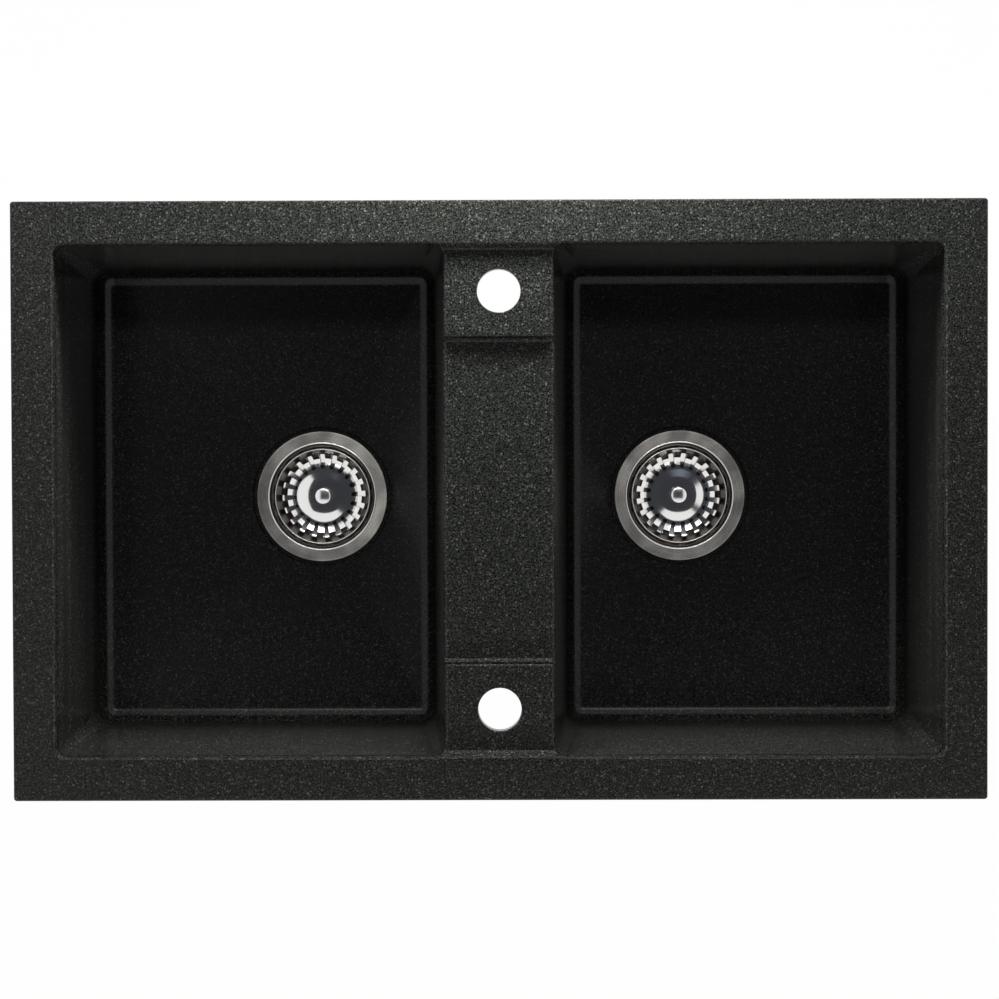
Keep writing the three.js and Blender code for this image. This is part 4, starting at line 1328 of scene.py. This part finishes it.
@dataclass
class StrainerWaste:
    """One basket strainer waste, with its heights measured from the flange's edge."""

    side: str
    middle: Vector
    basket_turn: float
    sheet: float = 1.0
    basket_sheet: float = 0.8
    land: float = -35.0
    sump: float = -45.0
    crown: float = -24.0
    base: float = -31.0
    stem_bore: float = 3.3
    flange: Outline = ((43.0, -4.4, 0.4), (46.1, -0.22, 0.8), (46.9, -0.62, 0.35),
                       (56.3, -0.03, 0.3), (56.75, -0.45))
    sump_opening: Outline = ((8.5, -5.6, 1.4), (18.0, -13.0, 2.5), (18.0, 13.0, 2.5),
                             (8.5, 5.6, 1.4))
    basket_bead: Outline = ((40.3, -4.0, 0.4), (41.0, -3.2, 0.7), (41.7, -4.0))
    basket_round: int = 160
    slots: int = 20
    slot_angle: float = 8.0
    slot_inside: float = 23.9
    slot_outside: float = 45.0
    slot_top: float = -18.0
    slot_rounding: int = 5
    knob_top: float = -8.0
    knob_radius: float = 6.85
    knob_ball: float = 43.0
    knob_steps: int = 6
    stem_radius: float = 3.0
    stem_foot: float = -37.8
    plug_face: float = -34.7
    plug_back: float = -32.1
    plug_radius: float = 27.1
    body_top: float = -16.0
    chamber: Outline = ((45, -28.5), (37, -48), (19.5, -56))
    body_flange: Outline = ((40, -49, 3.0), (48, -29.5, 3.0), (48, -20, 1.0), (56, -20, 0.8))
    rib: Outline = ((39, -19), (39, -44), (55, -23), (55, -19))
    rib_thickness: float = 3.0
    ribs: int = 8
    outlet_radius: float = 23.9
    outlet_end: float = -84.0
    outlet_thread: int = 8
    thread_pitch: float = 2.3
    thread_depth: float = 0.9
    hub_radius: float = 7.5
    hub_top: float = -46.3
    hub_foot: float = -62.3
    spoke_thickness: float = 3.5
    spoke_top: float = -57.0
    insert_radius: float = 5.0
    insert_foot: float = -58.3
    insert_groove: Outline = ((5, -57.6), (5, -53.5), (4.5, -53), (4.5, -52), (5, -51.5))
    pocket_top: float = -45.0
    screw_turns: int = 9
    screw_head: Outline = ((3.0, -48.0), (3.0, -44.7), (4.0, -44.7, 0.2), (4.0, -38.7, 1.2),
                           (0, -38.7))
    screw_recess: tuple[float, ...] = (2.4, 0.6, -40.6, -37.0)
    clip_ring_wall: Outline = ((3.3, -36.8), (6.1, -36.8, 0.5), (6.1, -43.3, 0.5),
                               (4.3, -43.3, 0.3), (4.3, -38.1), (3.3, -38.1))
    clip_ring_slits: tuple[float, ...] = (8.0, 0.4, -45.0, -40.5)
    flange_gasket: Outline = ((47, -2.1), (55.7, -2.1), (55.7, -1.38, 0.2), (47, -2.03))
    body_gasket: Outline = ((46, -15.7, 0.5), (55, -15.7, 0.5), (55, -12.7, 0.5), (46, -12.7, 0.5))
    washer: Outline = ((3.3, -36.5), (9, -36.5, 0.3), (9, -35, 0.3), (3.3, -35))

    def cup(self) -> BMesh:
        """Press the cup and its flange, and open the sump between its spokes.

        Returns:
            The sheet.
        """
        sheet = pressed([
            (self.stem_bore, self.sump), (21.5, self.sump, 1.2), (23.5, self.land, 1.4),
            (28.6, self.land, 1.5), (41.8, self.land + 1.4, 6.0), *self.flange], self.sheet)
        openings = [placed(plate(self.sump_opening, self.sump - 2 * self.sheet,
                                 self.sump + self.sheet), 90 * i + 45) for i in range(4)]
        return worked(sheet, openings, Cut.TAKE_AWAY)

    def basket(self) -> BMesh:
        """Press the basket and pierce its slots.

        Returns:
            The sheet.
        """
        sheet = pressed([
            (self.stem_bore, self.crown), (13.8, self.crown - 0.02, 3.0),
            (23.6, self.crown - 0.95, 1.6), (26.8, self.crown - 1.0, 0.25), (27.2, self.base, 0.3),
            (33.6, self.base + 1.25, 1.2), *self.basket_bead], self.basket_sheet, self.basket_round)
        half = math.radians(self.slot_angle / 2)
        inner, outer = (radius * math.tan(half) for radius in (self.slot_inside, self.slot_outside))
        slot = [(self.slot_inside, -inner, inner * 0.9), (self.slot_outside, -outer),
                (self.slot_outside, outer), (self.slot_inside, inner, inner * 0.9)]
        cutters = [placed(plate(slot, self.base - 5, self.slot_top, self.slot_rounding),
                          360 / self.slots * i) for i in range(self.slots)]
        return placed(worked(sheet, cutters, Cut.TAKE_AWAY), self.basket_turn)

    def knob(self) -> BMesh:
        """Turn the knob, with a slightly domed head, and its stem.

        Returns:
            The knob.
        """
        top, radius, stem = self.knob_top, self.knob_radius, self.stem_radius
        across = [radius * i / self.knob_steps for i in range(self.knob_steps)] + [radius]
        *dome, rim = [(x, top - x ** 2 / (2 * self.knob_ball)) for x in across]
        foot = self.crown + CLEARANCE
        return turned([
            *dome, (*rim, 0.35), (radius, top - 6, 0.5), (3.5, top - 6.8, 1.0),
            (3.5, foot + 2.6, 0.8), (5.1, foot + 1.2, 0.3), (5.1, foot, 0.3), (stem, foot),
            (stem, self.stem_foot + 0.4, 0.4), (0, self.stem_foot)], FAIR_ROUND)

    def plug(self) -> BMesh:
        """Mould the rubber plug: a grooved disc with a soft edge and a hub under the crown.

        Returns:
            The plug.
        """
        bore, face, back, edge = self.stem_bore, self.plug_face, self.plug_back, self.plug_radius
        hub_top = self.crown - 0.4 - self.basket_sheet - CLEARANCE
        return turned([
            (bore, face), (24.0, face), (24.6, face + 0.4), (25.4, face + 0.4), (25.8, face),
            (edge, face + 0.5, 0.6), (edge, back - 0.5, 0.6), (26.0, back, 0.4), (13.0, back, 1.0),
            (11.0, hub_top, 1.0), (bore, hub_top)])

    def body(self) -> BMesh:
        """Mould the body: flange, chamber, funnel, threaded outlet, ribs and hub.

        Returns:
            The body.
        """
        radius, end, top = self.outlet_radius, self.outlet_end, self.body_top
        root, neck = radius - self.thread_depth, radius - 0.3
        (mouth, _), (bore, funnel_foot) = self.chamber[0], self.chamber[-1]
        thread = []
        for i in range(self.outlet_thread):
            z = end + 2.0 + i * self.thread_pitch
            thread += [(root, z), (radius, z + self.thread_pitch * 0.4, 0.1),
                       (radius, z + self.thread_pitch * 0.6, 0.1)]
        shell = turned([
            (mouth, top), *self.chamber, (bore, end, 0.6), (22.4, end, 0.6), *thread,
            (root, end + 21), (neck, end + 22, 0.4), (neck, -57.0, 1.5), *self.body_flange,
            (56, top, 0.8)])
        half = self.rib_thickness / 2
        ribs = [placed(prism(self.rib, (-half, half), lambda c, y: Vector((c.across, y, c.up))),
                       360 * (i + 0.5) / self.ribs) for i in range(self.ribs)]
        core = turned([(0, top + 1), (mouth, top + 1), *self.chamber, (0, funnel_foot)])
        casing = worked(worked(shell, ribs, Cut.ADD), [core], Cut.TAKE_AWAY)
        half = self.spoke_thickness / 2
        spoke = Rectangle(0, bore + 1, -half, half).outline()
        spokes = [placed(plate(spoke, self.hub_foot, self.spoke_top), 120 * i) for i in range(3)]
        hub = turned([(0, self.hub_foot), (self.hub_radius, self.hub_foot, 0.8),
                      (self.hub_radius, self.hub_top, 0.6), (0, self.hub_top)], MIDDLE_ROUND)
        whole = worked(casing, [hub, *spokes], Cut.ADD)
        pocket = rod(self.insert_radius + CLEARANCE, self.insert_foot - CLEARANCE,
                     self.pocket_top, MIDDLE_ROUND)
        return worked(whole, [pocket], Cut.TAKE_AWAY)

    def screw(self) -> BMesh:
        """Turn the screw that clamps the cup to the body, with a cross recess.

        Returns:
            The screw.
        """
        foot = self.insert_foot
        thread = []
        for i in range(self.screw_turns):
            thread += [(2.6, foot + 0.8 + i), (3.0, foot + 1.3 + i)]
        shape = turned([(0, foot), (2.2, foot), *thread, *self.screw_head], SMALL_ROUND)
        return worked(shape, cross(*self.screw_recess), Cut.TAKE_AWAY)

    def clip_ring(self) -> BMesh:
        """Mould the ring that snaps over the screw's head, slit so that it can spread."""
        return worked(turned(self.clip_ring_wall, MIDDLE_ROUND), cross(*self.clip_ring_slits),
                      Cut.TAKE_AWAY)

    def insert(self) -> BMesh:
        """Turn the brass thread insert, with the groove that holds it in the hub."""
        foot, top, bore = self.insert_foot, self.hub_top, self.stem_bore
        return turned([(bore, foot), (4.6, foot, 0.3), *self.insert_groove,
                       (self.insert_radius, top, 0.4), (bore, top)], MIDDLE_ROUND)

    def build(self, shop: Workshop) -> None:
        """Build the waste: what stays in the floor, then what lifts out.

        Args:
            shop: The workshop that delivers the pieces.
        """
        fixed = [
            ("cup_pressing", self.cup(), Slot.BRUSHED_STEEL, "strainer_cup"),
            ("flange_seal", turned(self.flange_gasket), Slot.RUBBER, "flange_gasket"),
            ("body_seal", turned(self.body_gasket), Slot.RUBBER, "body_gasket"),
            ("body_moulding", self.body(), Slot.BLACK_PLASTIC, "waste_body"),
            ("insert_piece", self.insert(), Slot.BRASS, "thread_insert"),
            ("screw_piece", self.screw(), Slot.ZINC_STEEL, "waste_screw"),
        ]
        lifted = [
            ("basket_pressing", self.basket(), Slot.POLISHED_STEEL, "basket"),
            ("knob_piece", self.knob(), Slot.POLISHED_STEEL, "basket_knob"),
            ("plug_moulding", self.plug(), Slot.RUBBER, "basket_plug"),
            ("washer_piece", turned(self.washer, FAIR_ROUND), Slot.ZINC_STEEL, "plug_washer"),
            ("ring_moulding", self.clip_ring(), Slot.PALE_PLASTIC, "clip_ring"),
        ]
        for body, pieces in (("sink", fixed), (f"{self.side}_strainer", lifted)):
            for name, bm, slot, node in pieces:
                shop.deliver(f"{self.side}_{name}", placed(bm, at=self.middle), slot, body,
                             f"{self.side}_{node}", weighted=name.endswith("pressing"))


# ---------------------------------------------------------------- studio


class Lamp(NamedTuple):
    """A soft lamp: place and size in metres, power in watts, and whether mirrors see it."""

    name: str
    at: Point
    size: tuple[float, float]
    watts: float
    mirrored: bool = False


@dataclass
class Studio:
    """Camera, light, floor and surroundings, in metres."""

    eye: Point = (0.0155, 0.0474, 2.160)
    aim: Point = (0.0004, 0.0009, 0.010)
    roll: float = -0.18
    lens: float = 97.03
    floor_gap: float = 0.02
    floor_size: float = 8.0
    floor_paint: Colour = (0.8, 0.8, 0.8, 1)
    floor_glow: tuple[float, float] = (0.5, 0.985)
    fill: float = 0.03
    card_height: float = 30.0
    card_angles: tuple[float, ...] = (-10.7, 13.7, -9.3, 13.5)
    card_shade: Colour = (0.042, 0.044, 0.05, 1)
    glow: Colour = (0.20, 0.24, 0.30, 1)
    glow_at: tuple[float, float] = (5.5, 11.5)
    glow_scale: Point = (0.26, 0.42, 0.0)
    glow_core: float = 0.2
    lamps: Sequence[Lamp] = (
        Lamp("window", (0.0, 1.25, 0.42), (1.6, 0.4), 4.8),
        Lamp("back_strip", (0.0, 0.5, 0.10), (0.8, 0.05), 5.0),
        Lamp("back_spot", (0.0, 0.41, 0.12), (0.15, 0.05), 0.9),
        Lamp("front_softbox", (0.0, -1.3, 0.4), (1.6, 0.3), 9.6),
        Lamp("high_softbox", (0.0, 1.05, 2.8), (1.2, 0.2), 6.8, mirrored=True),
    )

    def camera(self) -> None:
        """Look straight down at the rim, as the photograph does."""
        data = bpy.data.cameras.new("camera")
        data.lens = self.lens
        data.sensor_width = 36.0
        data.clip_end = 50.0
        item = bpy.data.objects.new("camera", data)
        bpy.context.scene.collection.objects.link(item)
        down = Vector(self.aim) - Vector(self.eye)
        item.location = self.eye
        item.rotation_euler = (math.atan2(down.y, -down.z), math.atan2(-down.x, -down.z),
                               math.radians(self.roll))
        bpy.context.scene.camera = item

    @staticmethod
    def shown(tree: NodeTree, hidden: float, seen: float) -> Node:
        """Give one strength to rays that show the background, and another to the rest.

        Args:
            tree: The tree of a surface or the world.
            hidden: Strength for rays that only carry light.
            seen: Strength for rays that are seen, mirrored or come through glass.

        Returns:
            The strength.
        """
        path = add_node(tree, "LightPath")
        shown = path.outputs["Is Camera Ray"]
        for kind in ("Is Glossy Ray", "Is Transmission Ray"):
            shown = add_node(tree, "Math", {0: shown, 1: path.outputs[kind]},
                             operation="MAXIMUM").outputs[0]
        return add_node(tree, "MapRange", {"Value": shown, "To Min": hidden, "To Max": seen})

    def world(self) -> None:
        """Surround the sink with white that mirrors see, and a plain fill light."""
        world = bpy.data.worlds.new("world")
        bpy.context.scene.world = world
        world.use_nodes = True
        tree = world.node_tree
        tree.nodes.clear()
        light = add_node(tree, "Background", {
            "Color": WHITE, "Strength": self.shown(tree, self.fill, 1.0)})
        add_node(tree, "OutputWorld", {"Surface": light})

    def floor(self) -> None:
        """Lay a pale floor below the sink that keeps its shadow."""
        material, tree = empty_material("pale_floor")
        paint = add_node(tree, "BsdfDiffuse", {"Color": self.floor_paint})
        glow = add_node(tree, "Emission", {"Color": WHITE, "Strength": 1.0})
        mixed = add_node(tree, "MixShader", {0: self.shown(tree, *self.floor_glow), 1: paint, 2: glow})
        add_node(tree, "OutputMaterial", {"Surface": mixed})
        bm = bmesh.new()
        lowest = cad_box[0][2] - self.floor_gap
        bmesh.ops.create_grid(bm, x_segments=1, y_segments=1, size=self.floor_size,
                              matrix=Matrix.Translation((0, 0, lowest)))
        put_in_scene("floor", bm, material)

    def dark_card(self) -> None:
        """Hang a dark card overhead, which only mirrors see."""
        material, tree = empty_material("dark_card")
        middle = [-self.card_height * math.tan(math.radians(angle)) for angle in self.glow_at]
        around = add_node(tree, "Mapping", {
            "Vector": add_node(tree, "TexCoord").outputs["Object"],
            "Location": (*middle, -self.card_height)})
        away = add_node(tree, "VectorMath", {0: around, 1: self.glow_scale}, operation="MULTIPLY")
        away = add_node(tree, "VectorMath", {0: away}, operation="LENGTH").outputs["Value"]
        share = add_node(tree, "MapRange", {
            "Value": away, "From Min": self.glow_core, "To Min": 1, "To Max": 0})
        colour = add_node(tree, "Mix", {SHARE: share, FIRST: self.card_shade, SECOND: self.glow},
                          data_type="RGBA")
        shade = add_node(tree, "Emission", {"Color": colour.outputs[MIXED], "Strength": 1.0})
        add_node(tree, "OutputMaterial", {"Surface": shade})
        left, right, front, back = (self.card_height * math.tan(math.radians(angle))
                                    for angle in self.card_angles)
        bm = bmesh.new()
        bm.faces.new([bm.verts.new((x, y, self.card_height)) for x, y in (
            (left, front), (right, front), (right, back), (left, back))])
        card = put_in_scene("dark_card", bm, material)
        card.visible_camera = False
        card.visible_diffuse = False
        card.visible_transmission = False
        card.visible_shadow = False

    def hang(self, lamp: Lamp) -> None:
        """Hang a lamp that shines at the sink.

        Args:
            lamp: The lamp.
        """
        data = bpy.data.lights.new(lamp.name, "AREA")
        data.shape = "RECTANGLE"
        data.size, data.size_y = lamp.size
        data.energy = lamp.watts
        item = bpy.data.objects.new(lamp.name, data)
        bpy.context.scene.collection.objects.link(item)
        item.location = lamp.at
        item.rotation_mode = "QUATERNION"
        item.rotation_quaternion = (-Vector(lamp.at)).to_track_quat("-Z", "Y")
        item.visible_camera = False
        item.visible_glossy = lamp.mirrored

    def build(self) -> None:
        """Set up everything round the sink."""
        bpy.context.scene.view_settings.view_transform = "Standard"
        self.camera()
        self.world()
        self.floor()
        self.dark_card()
        for lamp in self.lamps:
            self.hang(lamp)


# ---------------------------------------------------------------- assembly


def middle_of(node: str) -> Vector:
    """Give the middle of a node in plan, in millimetres, at height 0."""
    low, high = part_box(node)
    return Vector(((low[0] + high[0]) / 2 / MM, (low[1] + high[1]) / 2 / MM, 0))


def clip_places(basin_wall: float, claw_width: float) -> list[ClipPlace]:
    """Find the clips from their screws: odd ones stand at the long sides.

    Args:
        basin_wall: Thickness of the bowl's wall.
        claw_width: Width of a claw.

    Returns:
        The places in order.
    """
    places = []
    for number in range(1, 9):
        at = middle_of(f"clip_screw_{number}")
        on_long_side = number % 2 == 1
        facing = math.copysign(90, at.y) if on_long_side else (0 if at.x > 0 else 180)
        places.append(ClipPlace(number, at, facing, basin_wall + claw_width / 2))
    return places


def main() -> None:
    """Build the studio and the sink, and report each piece."""
    logging.basicConfig(level=logging.INFO, format="%(message)s")
    Studio().build()
    turns = {"left": 3.0, "right": 9.4}
    middles = {side: middle_of(f"{side}_strainer_cup") for side in turns}
    shop = Workshop(Finishes(middles))
    places = clip_places(Basin.wall, SwingClip.claw_width)
    Basin(waste_middles=list(middles.values()), clip_places=places).build(shop)
    for place in places:
        SwingClip(place).build(shop)
    for side, turn in turns.items():
        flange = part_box(f"{side}_strainer_cup")[1][2] / MM
        middle = Vector((middles[side].x, middles[side].y, flange))
        StrainerWaste(side, middle, turn).build(shop)
    log.info("%d pieces", len(shop.made))


if __name__ == "__main__":
    main()
